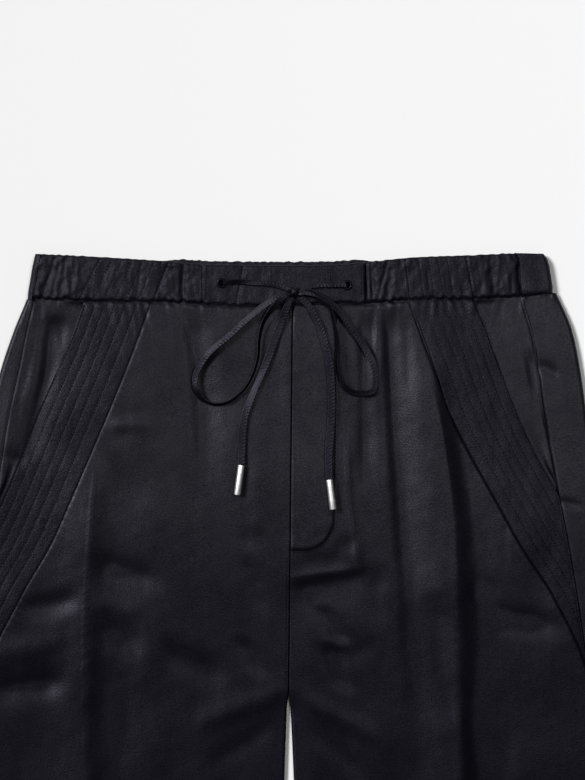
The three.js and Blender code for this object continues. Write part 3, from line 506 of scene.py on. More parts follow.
def clothMaterial(name, look):
    # the group's tone darkens the base colour, its height goes through one bump, and its sheen,
    # mottled and with painted shade falling down the legs, is the weight of a soft coat, which makes the
    # satin's shine
    material, tree, shader = newMaterial(name)
    cover = addNode(tree, "ShaderNodeGroup", node_tree=clothSurface)
    setInputs(tree, cover, {"Crumple": look["crumple"], "Weave": look["weave"], "Mottle": look["mottle"]})
    tone, roughness, height, sheenAndPaintedShade = (
        cover.outputs[label] for label in ("Tone", "Roughness", "Height", "SheenAndPaintedShade"))
    bump = addNode(tree, "ShaderNodeBump", {"Height": height, "Strength": 1.0, "Distance": look["bump"]})
    setInputs(tree, shader, {
        "Base Color": mixColours(tree, tone, (0, 0, 0), look["base"], clamp_factor=False),
        "Roughness": mathNode(tree, "ADD", roughness, look["roughness"]),
        "Normal": bump.outputs["Normal"],
        "Coat Weight": mathNode(tree, "MULTIPLY", sheenAndPaintedShade, look["coat"]),
        "Coat Normal": bump.outputs["Normal"],
        "Coat Roughness": look["roughness"],
        "Specular IOR Level": look["specular"],
        "Specular Tint": (*specularTint, 1)})
    return material


satin = clothMaterial("blackSatin", {
    "base": (0.0012, 0.0011, 0.0026), "roughness": 0.46, "specular": 0.06, "coat": 0.455,
    "mottle": 0.25, "bump": 0.0003, "crumple": 0.8, "weave": 1.0})
bandSatin = clothMaterial("stitchedSatin", {
    "base": (0.0012, 0.0011, 0.0027), "roughness": 0.51, "specular": 0.06, "coat": 0.345,
    "mottle": 0.4, "bump": 0.0007, "crumple": 1.0, "weave": 1.0})
cordSatin = clothMaterial("cordSatin", {
    "base": (0.0012, 0.0011, 0.0028), "roughness": 0.47, "specular": 0.06, "coat": 0.36,
    "mottle": 0.4, "bump": 0.0004, "crumple": 0.5, "weave": 1.5})
threadSatin = clothMaterial("sewingThread", {
    "base": (0.0010, 0.0009, 0.0020), "roughness": 0.60, "specular": 0.04, "coat": 0.06,
    "mottle": 0.3, "bump": 0.0002, "crumple": 0.3, "weave": 1.5})


def metalMaterial(name, look):
    # slow noise varies the colour and the roughness, fine noise gives the bump
    material, tree, shader = newMaterial(name)
    place = objectPlace(tree)
    wear, fine = noiseNode(tree, place, 420.0, 4.0), noiseNode(tree, place, 2600.0, 2.0)
    bump = addNode(tree, "ShaderNodeBump", {"Height": fine, "Strength": 0.4, "Distance": 0.00003})
    setInputs(tree, shader, {
        "Base Color": mixColours(tree, wear, look["dark"], look["base"]),
        "Roughness": mathNode(tree, "MULTIPLY_ADD", wear, look["spread"], look["roughness"]),
        "Normal": bump.outputs["Normal"], "Metallic": 1.0})
    return material


steel = metalMaterial("brushedSteel", {
    "base": (0.90, 0.90, 0.91), "dark": (0.80, 0.80, 0.82), "roughness": 0.38, "spread": 0.12})
darkMetal = metalMaterial("darkMetal", {
    "base": (0.014, 0.013, 0.017), "dark": (0.006, 0.006, 0.008), "roughness": 0.30, "spread": 0.2})
print("materials made")


def dress(piece, slotName, *nodes):
    # every piece rides on the one body and stands for its nodes of the solid model
    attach(piece, "root")
    if nodes:
        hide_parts(*nodes)
    return piece


# The drawstring: each side is one flat cord from its eyelet to the knot, round a loop,
# back to the knot and on as a tail. wide and turn (degrees about its line) say how it lies.

casing = {
    "top": 9.0, "lowest": 6.3, "rise": 0.35, "restGap": 0.55, "ends": {"left": -66.0, "right": 57.0},
    "endRoll": {"left": 0.35, "right": 1.2},   # how far its two side seams are pulled in
}
fly = {
    "wide": 34.0, "end": 225.0, "corner": 26.0, "squeeze": 0.96,   # the corner is narrower than high
    "start": 0.8, "gap": 0.7, "thick": 1.0, "stitchIn": 1.7,
}
routes = {   # rows of across, down, lift, wide, turn
    "leadLeft": [(-50.5, 22.6, 1.0, 2.6, 20), (-40, 21.4, 0.6, 3.2, 30), (-28, 22.4, 0.3, 3.2, 0),
                 (-14, 23.4, 0.3, 3.0, -20), (-0.7, 27.4, 0.6, 3.0, 0)],
    "leadRight": [(42, 24.2, 1.0, 2.6, 0), (32, 24.0, 0.6, 3.2, 20), (20, 24.2, 0.3, 3.2, 0),
                  (7.1, 27.6, 0.6, 3.0, 0)],
    "loopLeft": [(-1.15, 30.6, 3.4, 3.6, 0), (-8.3, 32.5, 3.6, 4.0, 10), (-17.2, 38, 3.2, 4.2, 12),
                 (-32.6, 50.1, 2.6, 4.2, 15), (-45.8, 62.2, 2.2, 4.2, 20), (-59, 73.2, 1.8, 4.2, 20),
                 (-66.7, 83.1, 1.4, 4.0, 10), (-71, 93, 1.1, 3.8, 5), (-70.5, 101.8, 0.9, 3.8, 30),
                 (-65.6, 109.5, 0.8, 3.8, 50), (-56.8, 113.3, 0.8, 3.8, 65), (-46.9, 111.7, 0.8, 3.8, 70),
                 (-38.0, 105.7, 0.9, 3.8, 72), (-31.4, 98, 1.2, 4.0, 72), (-26.5, 87.5, 1.6, 4.0, 72),
                 (-23.8, 76.5, 2.2, 4.0, 70), (-23.2, 65.5, 2.8, 4.0, 66), (-20.5, 53.4, 3.2, 4.0, 60),
                 (-13.9, 42.4, 3.4, 3.8, 40), (-6.5, 34.5, 3.6, 3.6, 10), (-1.15, 30.6, 3.4, 3.4, 0)],
    "loopRight": [(7.5, 30.4, 3.4, 3.6, 0), (14.8, 29.2, 3.6, 3.8, 20), (23.5, 34.7, 3.6, 3.8, 40),
                  (30.1, 41.3, 3.2, 3.8, 55), (33.0, 51.2, 2.8, 3.8, 60), (35.4, 62.2, 2.2, 3.8, 60),
                  (36.4, 71, 1.8, 3.8, 55), (36.6, 82, 1.4, 3.8, 50), (37.4, 90.8, 1.2, 3.8, 50),
                  (40.5, 99.6, 1.0, 3.8, 40), (46, 104.2, 0.9, 3.8, 30), (52, 105.2, 0.8, 3.8, 20),
                  (59.9, 104.6, 0.8, 3.8, 10), (63.2, 101.8, 0.9, 3.8, 5), (64.3, 90.8, 1.2, 4.0, 0),
                  (62, 82, 1.4, 4.2, 0), (55.5, 69.9, 1.8, 4.4, 0), (47.8, 58.9, 2.4, 4.4, 0),
                  (40.1, 47.9, 3.0, 4.2, 10), (32.3, 39.1, 3.4, 4.0, 20), (22.5, 32.2, 3.6, 3.8, 20),
                  (12, 29.6, 3.6, 3.6, 0), (7.5, 30.4, 3.4, 3.4, 0)],
    "tailLeft": [(0.9, 31.9, 0.6, 3.8, 0), (-2.5, 41.2, 0.5, 4.6, 0), (-7.3, 53.4, 0.4, 5.0, 0),
                 (-12.8, 68.8, 0.3, 5.0, 0), (-17.2, 80.9, 0.3, 5.0, 5), (-23.8, 96.3, 0.3, 4.6, 20),
                 (-29.3, 109.5, 0.3, 4.6, 15), (-33.7, 121.6, 0.3, 4.8, 5), (-35.6, 134, 0.3, 5.0, 0),
                 (-36.2, 147, 0.3, 5.0, 0), (-36.3, 158.4, 1.0, 4.4, 0)],
    "tailRight": [(5.7, 32.1, 0.6, 3.8, 0), (12.4, 38.0, 0.5, 4.4, 10), (16.9, 44, 0.5, 4.6, 10),
                  (22.4, 55.6, 0.4, 4.8, 5), (26.5, 68.8, 0.3, 5.0, 0), (29.4, 82, 0.3, 5.0, 0),
                  (30.6, 93, 0.3, 5.0, 0), (31.0, 104, 0.3, 5.0, 0), (31.2, 118, 0.3, 5.0, 0),
                  (30.4, 134, 0.3, 5.0, 0), (29.0, 150, 0.3, 5.0, 0), (29.4, 169.2, 1.0, 4.4, 0)],
}
cord = {
    "runHigh": {"lead": 1.4, "loop": 3.2, "tail": 2.3},   # twice each run's height over its lift
    "thick": 1.1, "ease": 1.22, "power": 3.0, "sides": 24,
    "hatch": 0.32, "hatchPitch": 2.6, "step": 0.6, "width": 0.0050,
}


def restHeight(across, down):
    # what a cord lies on: the casing above the seam, and the fly or the cloth below it
    middle = (innerEdge("left", down) + innerEdge("right", down)) / 2
    onFly = (across > middle - 2) & (across < middle + fly["wide"] + 4) & (down < fly["end"] + 4)
    z = clothHeight(across, down) + np.where(onFly, fly["gap"] + fly["thick"], 0)
    return np.where(down < waistSeam(across) + 2, casing["top"] + casing["rise"], z)


def restsAt(across, down):
    # the highest of nine spots in a square round the point, and a small gap
    reach = (-4.0, 0.0, 4.0)
    spots = [restHeight(across + dx, down + dy) for dx in reach for dy in reach]
    return np.max(spots, axis=0) + casing["restGap"]


def routePoints(name):
    # rows of a route with its height: what it rests on + lift + half of the thickness
    rows = np.array(routes[name], float)
    half = cord["runHigh"][name[:4]] / 2
    z = restsAt(rows[:, 0], rows[:, 1]) + rows[:, 2] + half
    return np.column_stack([rows[:, 0], rows[:, 1], z, rows[:, 3], rows[:, 4]])


def throughPoints(points, each=12):
    # Catmull-Rom spline: 0.5 * (2b + (c-a)t + (2a-5b+4c-d)t^2 + (3b-a-3c+d)t^3)
    ends = np.vstack([2 * points[0] - points[1], points, 2 * points[-1] - points[-2]])
    a, b, c, d = (ends[k:len(ends) - 3 + k, None] for k in range(4))
    t = np.linspace(0, 1, each, endpoint=False)[None, :, None]
    curve = 0.5 * (2 * b + (c - a) * t + (2 * a - 5 * b + 4 * c - d) * t * t
                   + (3 * b - a - 3 * c + d) * t ** 3)
    return np.vstack([curve.reshape(-1, points.shape[1]), points[-1:]])


def evenSteps(points, step):
    # the same line with rows an even step apart
    lengths = np.linalg.norm(np.diff(points[:, :3], axis=0), axis=1)
    along = np.concatenate([[0], np.cumsum(lengths)])
    at = np.linspace(0, along[-1], max(2, int(round(along[-1] / step)) + 1))
    return np.column_stack([np.interp(at, along, points[:, k]) for k in range(points.shape[1])]), at


def softened(points, rounds):
    # each point moves to the mean of itself and its neighbours
    points = points.copy()
    for _ in range(rounds):
        points[1:-1] = (points[:-2] + 2 * points[1:-1] + points[2:]) / 4
    return points


def cordRings(line, at):
    # a flat rounded section: superellipse |x|^n + |y|^n = 1, turned about the line, with a
    # shallow middle and slanting ribs: hatch * sin(2 pi (along/pitch + side/wide))
    tangent = np.gradient(line[:, :3], axis=0)
    tangent /= np.linalg.norm(tangent, axis=1)[:, None]
    level = np.cross(tangent, np.array([0.0, 0.0, 1.0]))
    level /= np.linalg.norm(level, axis=1)[:, None]
    lift = np.cross(level, tangent)
    turn = np.radians(line[:, 4])[:, None]
    sideways = level * np.cos(turn) + lift * np.sin(turn)
    upwards = lift * np.cos(turn) - level * np.sin(turn)
    angle = np.linspace(0, math.tau, cord["sides"], endpoint=False)
    power = 2 / cord["power"]
    x = np.sign(np.cos(angle)) * np.abs(np.cos(angle)) ** power
    y = np.sign(np.sin(angle)) * np.abs(np.sin(angle)) ** power
    half = line[:, 3:4] / 2
    slant = at[:, None] / cord["hatchPitch"] + np.sign(y) * x * half / cord["hatchPitch"]
    ribs = cord["hatch"] * np.sin(math.tau * slant) * np.exp(-((x - 0.45 * np.sign(y)) / 0.4) ** 2)
    ribs = ribs + 0.42 * np.abs(x) ** 3 - 0.2
    wide = half * x
    high = (cord["thick"] / 2 + ribs) * y
    return line[:, None, :3] + sideways[:, None] * wide[..., None] + upwards[:, None] * high[..., None]


def tubeMesh(name, rings, at, material, smoothAngle=60, looped=False):
    # rings joined in order, with a middle point that closes each end, or joined in a loop
    count, sides = rings.shape[:2]
    index = np.arange(count * sides).reshape(count, sides)
    around = np.hstack([index, index[:, :1]])
    points = rings.reshape(-1, 3)
    quads = gridFaces(np.vstack([around, around[:1]]) if looped else around)
    flipped = insideOut(points, quads)
    faces = quads.tolist()
    uv = np.column_stack([np.repeat(at, sides), np.tile(np.linspace(0, 6, sides), count)])
    if not looped:
        points = np.vstack([points, rings[0].mean(axis=0), rings[-1].mean(axis=0)])
        uv = np.vstack([uv, np.zeros((2, 2))])
        first, last = count * sides, count * sides + 1
        faces += [(first, int(a), int(b)) for a, b in zip(around[0, :-1], around[0, 1:])]
        faces += [(last, int(b), int(a)) for a, b in zip(around[-1, :-1], around[-1, 1:])]
    if flipped:
        faces = [face[::-1] for face in faces]
    return putMesh(name, points, faces, uv, material, smoothAngle)


def drawCord(side):
    # the three runs as splines, joined and softened; gives the line and how far along each row is
    name = side.capitalize()
    parts = [throughPoints(routePoints(run + name)) for run in ("lead", "loop", "tail")]
    joined, _ = evenSteps(np.vstack(parts), 0.55)
    joined[:, :3] = softened(joined[:, :3], 6)
    joined[:, 3:] = softened(joined[:, 3:], 10)
    joined[:, 3] *= cord["ease"]
    return evenSteps(joined, cord["step"])


cordLines = {side: drawCord(side) for side in ("left", "right")}
cordPieces = {}
for side, (line, at) in cordLines.items():
    cordPieces[side] = tubeMesh("drawstring" + side.capitalize(), cordRings(line, at), at, cordSatin)
    dress(cordPieces[side], "cord", f"cord_lead_{side}", f"cord_loop_{side}", f"cord_tail_{side}")
    print(side, "cord", round(float(at[-1]), 1), "mm long")


def lathe(name, profile, sides, matrix, at, material, looped=False):
    # a profile of (radius, height) rows turned about its own axis, then turned and moved
    profile = np.array(profile, float)
    angle = np.linspace(0, math.tau, sides, endpoint=False)
    rings = np.stack([profile[:, :1] * np.cos(angle), profile[:, :1] * np.sin(angle),
                      np.repeat(profile[:, 1:2], sides, axis=1)], axis=-1)
    rings = rings @ np.array(matrix, float).T + np.array(at, float)
    return tubeMesh(name, rings, profile[:, 1], material, 40, looped)


# The metal tips lie on the cloth: plain tubes with eased ends

tip = {"radius": 2.6, "long": 22.5, "sides": 40}
tips = {"left": (-36.4, 158.9, -8.0), "right": (29.5, 169.7, 7.0)}   # across, down, lean in degrees
tipProfile = [(0.5, 0.5), (1.9, 0.5), (2.1, 0.12), (2.35, 0.0), (2.54, 0.12), (2.6, 0.4), (2.6, 7.0),
              (2.6, 14.0), (2.6, 22.0), (2.52, 22.38), (2.3, 22.5), (2.05, 22.45), (1.9, 22.0), (0.5, 22.0)]

tipPieces = {}
for side, (across, down, lean) in tips.items():
    turn = math.radians(lean)
    axis = np.array([math.sin(turn), math.cos(turn), 0.0])      # down the page
    sideways = np.array([math.cos(turn), -math.sin(turn), 0.0])
    upwards = np.array([0.0, 0.0, 1.0])
    matrix = np.column_stack([sideways, upwards, axis])
    ends = np.array([down, down + tip["long"]])
    height = float(np.max(restsAt(across, ends))) + tip["radius"]
    tipPieces[side] = lathe("tip" + side.capitalize(), tipProfile, tip["sides"], matrix,
                            (across, down, height), steel)
    dress(tipPieces[side], "steel", f"cord_tip_{side}")


# The knot: a core with two wraps of cord over it

knot = {
    "middle": (3.2, 29.4, 13.05), "half": (2.9, 2.5, 2.2),
    "wraps": [   # half width and height of the ellipse, tilt and lean in radians, wide, thick
        ((3.5, 2.7), 0.95, 0.25, 2.5, 0.9),
        ((3.7, 2.9), -0.7, -0.2, 2.2, 0.8),
        ((3.3, 3.1), 0.15, 0.5, 1.6, 0.8),
    ],
    "wrapSteps": 49, "wrapSides": 12, "coreRings": 17, "coreSides": 28,
}


def wrapRing(halves, tilt, lean, wide, thick):
    # a band round an ellipse, tilted and leaning; each section is an ellipse wide and thick
    angle = np.linspace(0, math.tau, knot["wrapSteps"])
    centre = np.stack([np.cos(angle) * halves[0], 0 * angle, np.sin(angle) * halves[1]], axis=-1)
    outward = np.stack([np.cos(angle) / halves[0], 0 * angle, np.sin(angle) / halves[1]], axis=-1)
    outward /= np.linalg.norm(outward, axis=1)[:, None]
    section = np.linspace(0, math.tau, knot["wrapSides"], endpoint=False)
    along = np.array([0.0, 1.0, 0.0])
    rings = (centre[:, None] + outward[:, None] * (np.sin(section) * thick / 2)[None, :, None]
             + along * (np.cos(section) * wide / 2)[None, :, None])
    cosine, sine = math.cos(tilt), math.sin(tilt)
    rings = rings @ np.array([[cosine, -sine, 0], [sine, cosine, 0], [0, 0, 1]]).T
    cosine, sine = math.cos(lean), math.sin(lean)
    return rings @ np.array([[1, 0, 0], [0, cosine, -sine], [0, sine, cosine]]).T


def knotMesh():
    # the core is an ellipsoid, nearly closed at its poles
    turns = np.linspace(-math.pi / 2, math.pi / 2, knot["coreRings"])
    angle = np.linspace(0, math.tau, knot["coreSides"], endpoint=False)
    ball = np.stack(np.broadcast_arrays(
        np.cos(turns)[:, None] * np.cos(angle) * knot["half"][0],
        np.cos(turns)[:, None] * np.sin(angle) * knot["half"][1],
        np.sin(turns)[:, None] * knot["half"][2]), axis=-1)
    ball[[0, -1], :, :2] *= 0.02
    pieces = [tubeMesh("knotCore", ball + knot["middle"], turns, cordSatin)]
    for number, wrap in enumerate(knot["wraps"]):
        pieces.append(tubeMesh(f"knotWrap{number}", wrapRing(*wrap) + knot["middle"],
                               np.arange(float(knot["wrapSteps"])), cordSatin))
    return joinPieces("drawstringKnot", pieces)


def joinPieces(name, pieces):
    # one mesh from several, under one name
    bpy.ops.object.select_all(action="DESELECT")
    for piece in pieces:
        piece.select_set(True)
    bpy.context.view_layer.objects.active = pieces[0]
    bpy.ops.object.join()
    pieces[0].name = name
    pieces[0].data.name = name
    return pieces[0]


knotPiece = dress(knotMesh(), "cord", "cord_knot")

print("cords made")


# The cloth panels

tuck = {"rows": [34.8, 37.4, 38.0], "height": 5.72}


def tucked(across, down, z):
    # the panels' first rows dip and run in under the casing
    return blendTo(tuck["height"], z, smoothStep(-0.2, 2.4, down - waistSeam(across)))


def columnsAcross(start, end, count):
    # even steps with a few narrow ones at both edges, where the cloth turns down
    width = np.abs(end - start)
    sign = np.sign(end - start)
    fit = np.minimum(1, width / 24)
    first = fit * np.array([0, 0.6, 1.2, 2.0, 3.0])
    last = width - fit * np.array([3.0, 2.0, 1.2, 0.6, 0])
    middle = fit * 4 + (width - 8 * fit) * np.linspace(0, 1, count)
    return start + sign * np.concatenate([first, middle, last], axis=1)


def frontEdge(side, down):
    # the front ends at the pocket band, and below the band at the side seam
    outer = np.where(down < cloth["bandEnd"], sideLine(side, "band", down), sideLine(side, "seam", down))
    return outer - cloth["seam"] / 2


def flyEdge(down):
    # how far the fly's curved edge is from the centre: straight, then a quarter of an ellipse
    t = np.clip((down - fly["end"] + fly["corner"]) / fly["corner"], 0, 1)
    return fly["wide"] - fly["corner"] * fly["squeeze"] * (1 - np.sqrt(np.maximum(1 - t * t, 0)))


stitch = {"pitch": 2.6, "long": 1.6, "thick": 0.62, "lift": 0.08}
band = {"rows": [0.21, 0.375, 0.525, 0.68, 0.825], "puff": 0.17, "edgeRow": 1.3,
        "seamDepth": {"left": 0.3, "right": 0.8}}
facing = {"under": 9.0, "drop": 2.1, "seam": {"left": 0.4, "right": 0.9}}


def frontTop(side, across, down):
    # cloth + a ditch at the outer seam + slanting puckers beside it
    distance = np.abs(frontEdge(side, down)) - np.abs(across)
    z = clothHeight(across, down) + edgeRoll(distance, band["seamDepth"][side], 1.0)
    pucker = np.sin(math.tau * (down + 0.7 * np.abs(across)) / 7.5 + 1.7 * np.sin(down / 13))
    z = z + 0.14 * pucker * np.exp(-np.maximum(distance, 0) / 5)
    return tucked(across, down, z + hemStep(down))


def frontPanel(side):
    # a quarter of a circle at the inner edge, then columns out to the front's edge
    sign, rows = signOf(side), panelRows(tuck["rows"])[:, None]
    legs = legShare(rows)
    radius = follow(heights, "down", "innerFold", rows)
    edge, thick = innerEdge(side, rows), clothThick(rows)
    roll = blendTo(cloth["seamRoll"], radius, legs)
    start = edge + sign * roll
    top = frontTop(side, start, rowDown(edge, rows))
    drop = blendTo(thick + cloth["pressed"], top - radius - cloth["seam"] / 2, legs)
    turn = np.linspace(0, math.pi / 2, 6)[None, :-1]
    out, up = np.cos(turn), np.sin(turn)
    across = columnsAcross(start, sign * frontEdge(side, rows), 86)
    down = rowDown(across, rows)
    z = frontTop(side, across, down)
    allDown = np.hstack([rowDown(edge, rows) + 0 * out, down])
    outer = np.stack([np.hstack([edge + sign * roll * (1 - out), across]), allDown,
                      np.hstack([top - drop * (1 - up), z])], axis=-1)
    innerX = np.hstack([edge + sign * (roll - (roll - thick) * out), across])
    innerX = edge + sign * np.maximum(np.abs(innerX - edge), np.minimum(thick, 2 * radius - thick))
    inner = np.stack([innerX, allDown,
                      np.hstack([top - drop + (drop - thick) * up, z - thick])], axis=-1)
    return putWall("front" + side.capitalize(), outer, inner, satin)


def underSeam(across):
    # down of the back casing's seam: straight lines from the middle to both sides
    side = waistSeam(np.sign(across) * cloth["casingSide"])
    return blendTo(40.0, side, np.clip(np.abs(across) / cloth["casingSide"], 0, 1))


def backTop(side, across, down):
    # cloth + a ditch where it meets the front at the side seam
    distance = np.abs(across) - sideLine(side, "seam", down)
    z = clothHeight(across, down) + edgeRoll(distance, facing["seam"][side], 1.1)
    return z + hemStep(down)


def backPanel(side):
    # a quarter of a circle at the inner edge, the flat underside, a half circle round the side
    # fold, and the strip of the back that shows in front of it
    sign, rows = signOf(side), panelRows([cloth["firstRow"] - 0.2])[:, None]
    legs = legShare(rows)
    innerRadius = follow(heights, "down", "innerFold", rows)
    radius = follow(heights, "down", "sideFold", rows)
    edge, thick = innerEdge(side, rows), clothThick(rows)
    fold = sideLine(side, "fold", rows)
    seam = sideLine(side, "seam", rows) + cloth["seam"] / 2
    roll = blendTo(thick + cloth["pressed"], innerRadius, legs)
    lift = blendTo(thick + cloth["pressed"], innerRadius - cloth["seam"] / 2, legs)
    parts = []

    def add(across, z, acrossIn, zIn):
        line = blendTo(underSeam(across), waistSeam(across), np.clip(z / (2 * radius), 0, 1))
        parts.append((across, rowDown(across, rows, line), z, acrossIn, zIn))

    turn = np.linspace(0, math.pi / 2, 6)[None, :]
    out, up = np.cos(turn), np.sin(turn)
    add(edge + sign * roll * (1 - out), lift * (1 - up),
        edge + sign * (roll - (roll - thick) * out), lift - (lift - thick) * up)
    start, end = edge + sign * roll, sign * (fold - radius)
    flat = blendTo(start, end, np.linspace(0, 1, 15)[None, 1:])
    add(flat, 0 * flat, flat, thick + 0 * flat)
    turn = np.linspace(-math.pi / 2, math.pi / 2, 15)[None, 1:]
    out, up, small = np.cos(turn), np.sin(turn), radius - thick
    add(end + sign * radius * out, radius * (1 + up), end + sign * small * out, radius + small * up)
    across = columnsAcross(end, sign * seam, 12)[:, 1:]
    z = backTop(side, across, rowDown(across, rows))
    add(across, z, across, z - thick)
    joined = [np.hstack([np.broadcast_to(part[k], part[0].shape) for part in parts]) for k in range(5)]
    outer = np.stack(joined[:3], axis=-1)
    inner = np.stack([joined[3], joined[1], joined[4]], axis=-1)
    return putWall("back" + side.capitalize(), outer, inner, satin)


# The pocket bands: stitched rows from the waist to the side seam, soft between them

def bandShare(side, across, down):
    # 0 at the band's inner seam and 1 at the pocket mouth
    inner = sideLine(side, "band", down)
    return (np.abs(across) - inner) / (sideLine(side, "mouth", down) - inner)


def bandEdge(side, down):
    # the band's outer edge: the mouth, or the side seam where the mouth has passed it
    return np.minimum(sideLine(side, "mouth", down), sideLine(side, "seam", down)) - cloth["seam"] / 2


def channelHeight(side, across, down):
    # puff * sin(pi u)^0.7 between neighbouring rows, with puckers that differ by channel, and
    # -0.24 * exp(-(d/0.7)^2) at the rows
    share = bandShare(side, across, down)
    lines = np.array([0.0] + band["rows"] + [1.0])
    channel = np.clip(np.searchsorted(lines, share, side="right") - 1, 0, len(lines) - 2)
    u = np.clip((share - lines[channel]) / (lines[channel + 1] - lines[channel]), 0, 1)
    full = np.sin(math.pi * u) ** 0.7
    wander = np.sin(down / (9.0 + channel) + 2.1 * channel)
    ripple = np.sin(math.tau * (down + 5 * u * (-1.0) ** channel) / (5.6 + 0.5 * channel) + 1.6 * wander)
    puff = band["puff"] * (0.85 + 0.15 * wander) + 0.035 * ripple
    crinkle = 0.05 * softNoise(across, down, 5.5, 21) + 0.03 * softNoise(across, down, 3.1, 22)
    fromRow = np.minimum(u, 1 - u) * 8.4
    dotted = 0.75 + 0.25 * np.sin(math.tau * down / stitch["pitch"] + 2.4 * channel)
    return puff * full + crinkle - 0.24 * dotted * np.exp(-(fromRow / 0.7) ** 2)


def bandTop(side, across, down):
    # cloth + channels, a ditch at the inner seam, and a stitched and turned-in outer edge
    z = clothHeight(across, down) + channelHeight(side, across, down)
    z = z + edgeRoll(np.abs(across) - sideLine(side, "band", down), band["seamDepth"][side], 0.8)
    distance = bandEdge(side, down) - np.abs(across)
    z = z + groove(distance - band["edgeRow"], 0.3, 0.5) + edgeRoll(distance, 0.5, 0.45)
    return tucked(across, down, z + 0.35 * bell(distance - 0.6, 0.6, 0.6))


def pocketBand(side):
    # the grid runs from seam to edge across and from the casing to the band's lower end
    sign = signOf(side)
    rows = panelRows(tuck["rows"])
    rows = np.append(rows[rows < cloth["bandEnd"] - 7], cloth["bandEnd"] - 5)[:, None]
    start = sign * (sideLine(side, "band", rows) + cloth["seam"] / 2)
    across = columnsAcross(start, sign * bandEdge(side, rows), 50)
    down = rowDown(across, rows)
    z = bandTop(side, across, down)
    under = np.minimum(clothHeight(across, down) - cloth["thick"], z - 0.8)
    return putLayer("pocketBand" + side.capitalize(), across, down, z, under, bandSatin)


def facingTop(side, across, down):
    # low under the mouth, then it rises to the side seam; a soft trough runs beside the seam
    mouth, seam = sideLine(side, "mouth", down), sideLine(side, "seam", down) - cloth["seam"] / 2
    rise = smoothStep(mouth + 2, np.maximum(mouth + 5, seam - 3), np.abs(across))
    width = np.maximum(seam - mouth, 0)
    trough = 0.8 * np.clip(width / 14, 0, 1) * bell(seam - 6 - np.abs(across), 3.5, 4)
    lobes = 0.35 * np.sin(down / 11 + 0.9 * signOf(side)) * np.clip(width / 20, 0, 1)
    z = clothHeight(across, down) - facing["drop"] * (1 - rise) - trough + lobes * rise * (1 - rise) * 4
    return tucked(across, down, z + edgeRoll(seam - np.abs(across), facing["seam"][side], 1.0))


def pocketFacing(side):
    # the grid ends in the point where the mouth meets the side seam
    sign = signOf(side)
    downs = np.arange(cloth["firstRow"], 400.0)
    last = downs[np.argmax(sideLine(side, "mouth", downs) >= sideLine(side, "seam", downs))]
    rows = panelRows(tuck["rows"])
    rows = np.append(rows[rows < last - 2], last)[:, None]
    start = sideLine(side, "mouth", rows) - facing["under"]
    across = columnsAcross(sign * start, sign * (sideLine(side, "seam", rows) - cloth["seam"] / 2), 22)
    down = rowDown(across, rows)
    z = facingTop(side, across, down)
    return putLayer("pocketFacing" + side.capitalize(), across, down, z, z - cloth["thick"], satin)


def flyTop(across, down):
    # lies on the right front, rises to its own thickness and ends in a soft curved edge;
    # distance to a rounded corner = radius - hypot(dx, dy)
    fromFold = across - innerEdge("right", down) - fly["start"]
    corner = fly["corner"]
    pastX = np.maximum(fromFold - fly["wide"] + fly["squeeze"] * corner, 0) / fly["squeeze"]
    edge = corner - np.hypot(pastX, np.maximum(down - fly["end"] + corner, 0))
    low, high = 0.45, fly["gap"] + fly["thick"]
    z = clothHeight(across, down) + low + (high - low) * smoothStep(0, 4.5, edge)
    z = z - 0.25 * np.exp(-(np.maximum(fromFold, 0) / 0.5) ** 2)
    pucker = np.sin(down / 2.9 + 1.5 * np.sin(down / 8.0)) * np.exp(-((edge - 4) / 4) ** 2)
    folds = np.sin(fromFold / 1.7 + 1.2 * np.sin(fromFold / 5.0)) * np.exp(-((edge - 8) / 5) ** 2)
    z = z + 0.12 * pucker + 0.16 * folds * smoothStep(185, 212, down)
    return z + groove(edge - fly["stitchIn"], 0.3, 0.6)


def mockFly():
    # the rows come closer together round the curved lower end
    straight = panelRows([cloth["firstRow"]])
    straight = straight[straight < fly["end"] - fly["corner"]]
    turns = np.sin(np.linspace(0, math.pi / 2, 26))
    rows = np.concatenate([straight, fly["end"] - fly["corner"] * (1 - turns)])[:, None]
    start = innerEdge("right", rows) + fly["start"]
    across = columnsAcross(start, start + flyEdge(rows), 34)
    down = rowDown(across, rows)
    z = flyTop(across, down)
    under = np.minimum(clothHeight(across, down) + 0.18, z - 0.1)
    return putLayer("mockFly", across, down, z, under, satin)


# The waist casing. share is 0 at its top fold and 1 at its seam.

casingCreases = readTable("across lean depth near far", [
    (-182, 7, 1.7, 2.0, 2.6), (-171, 4, 0.7, 2.5, 3), (-141, 3, 0.5, 2.5, 3), (-80.2, 0, 2.2, 2.6, 2.0),
    (57.8, -1.6, 1.6, 1.6, 1.4), (61.5, -0.5, 1.4, 1.3, 1.6), (69.5, 8, 1.3, 1.6, 1.5),
    (74.5, 5, 0.8, 1.5, 2.0), (84, 3, 0.6, 2.0, 2.4), (152, -4, 0.6, 3, 3), (172, -4.5, 1.5, 2.2, 1.8),
    (-113, 4, 0.5, 1.6, 1.6), (-97, 2, 0.6, 1.8, 1.8), (104, -2, 0.5, 1.8, 2.0), (121, 1, 0.5, 1.8, 1.8)])

# How hard the elastic pulls the casing together: 0 is flat
gathering = readTable("across pull", [
    (-200, 1.0), (-160, 1.0), (-150, 0.35), (-104, 0.3), (-94, 0.8), (-74, 1.0), (-64, 0.0), (54, 0.0),
    (62, 1.0), (84, 0.9), (94, 0.35), (134, 0.35), (142, 0.9), (200, 1.0)])

# The pocket bands' rows run on up the casing: where the outer and inner ones meet its two edges
casingRows = {
    "left": {"inner": (-90.8, -102.5), "outer": (-141.5, -158.0)},
    "right": {"inner": (86.5, 90.5), "outer": (132.0, 138.5)},
}


def seamLumps(across):
    # uneven scallops from 0 to 1 where the casing's seam pulls
    return np.clip(0.5 + 0.45 * softNoise(across, 0 * across, 6.2, 31), 0, 1)


def gathered(across):
    # straight lines between the rows of the gathering table
    return np.interp(across, gathering["across"], gathering["pull"])


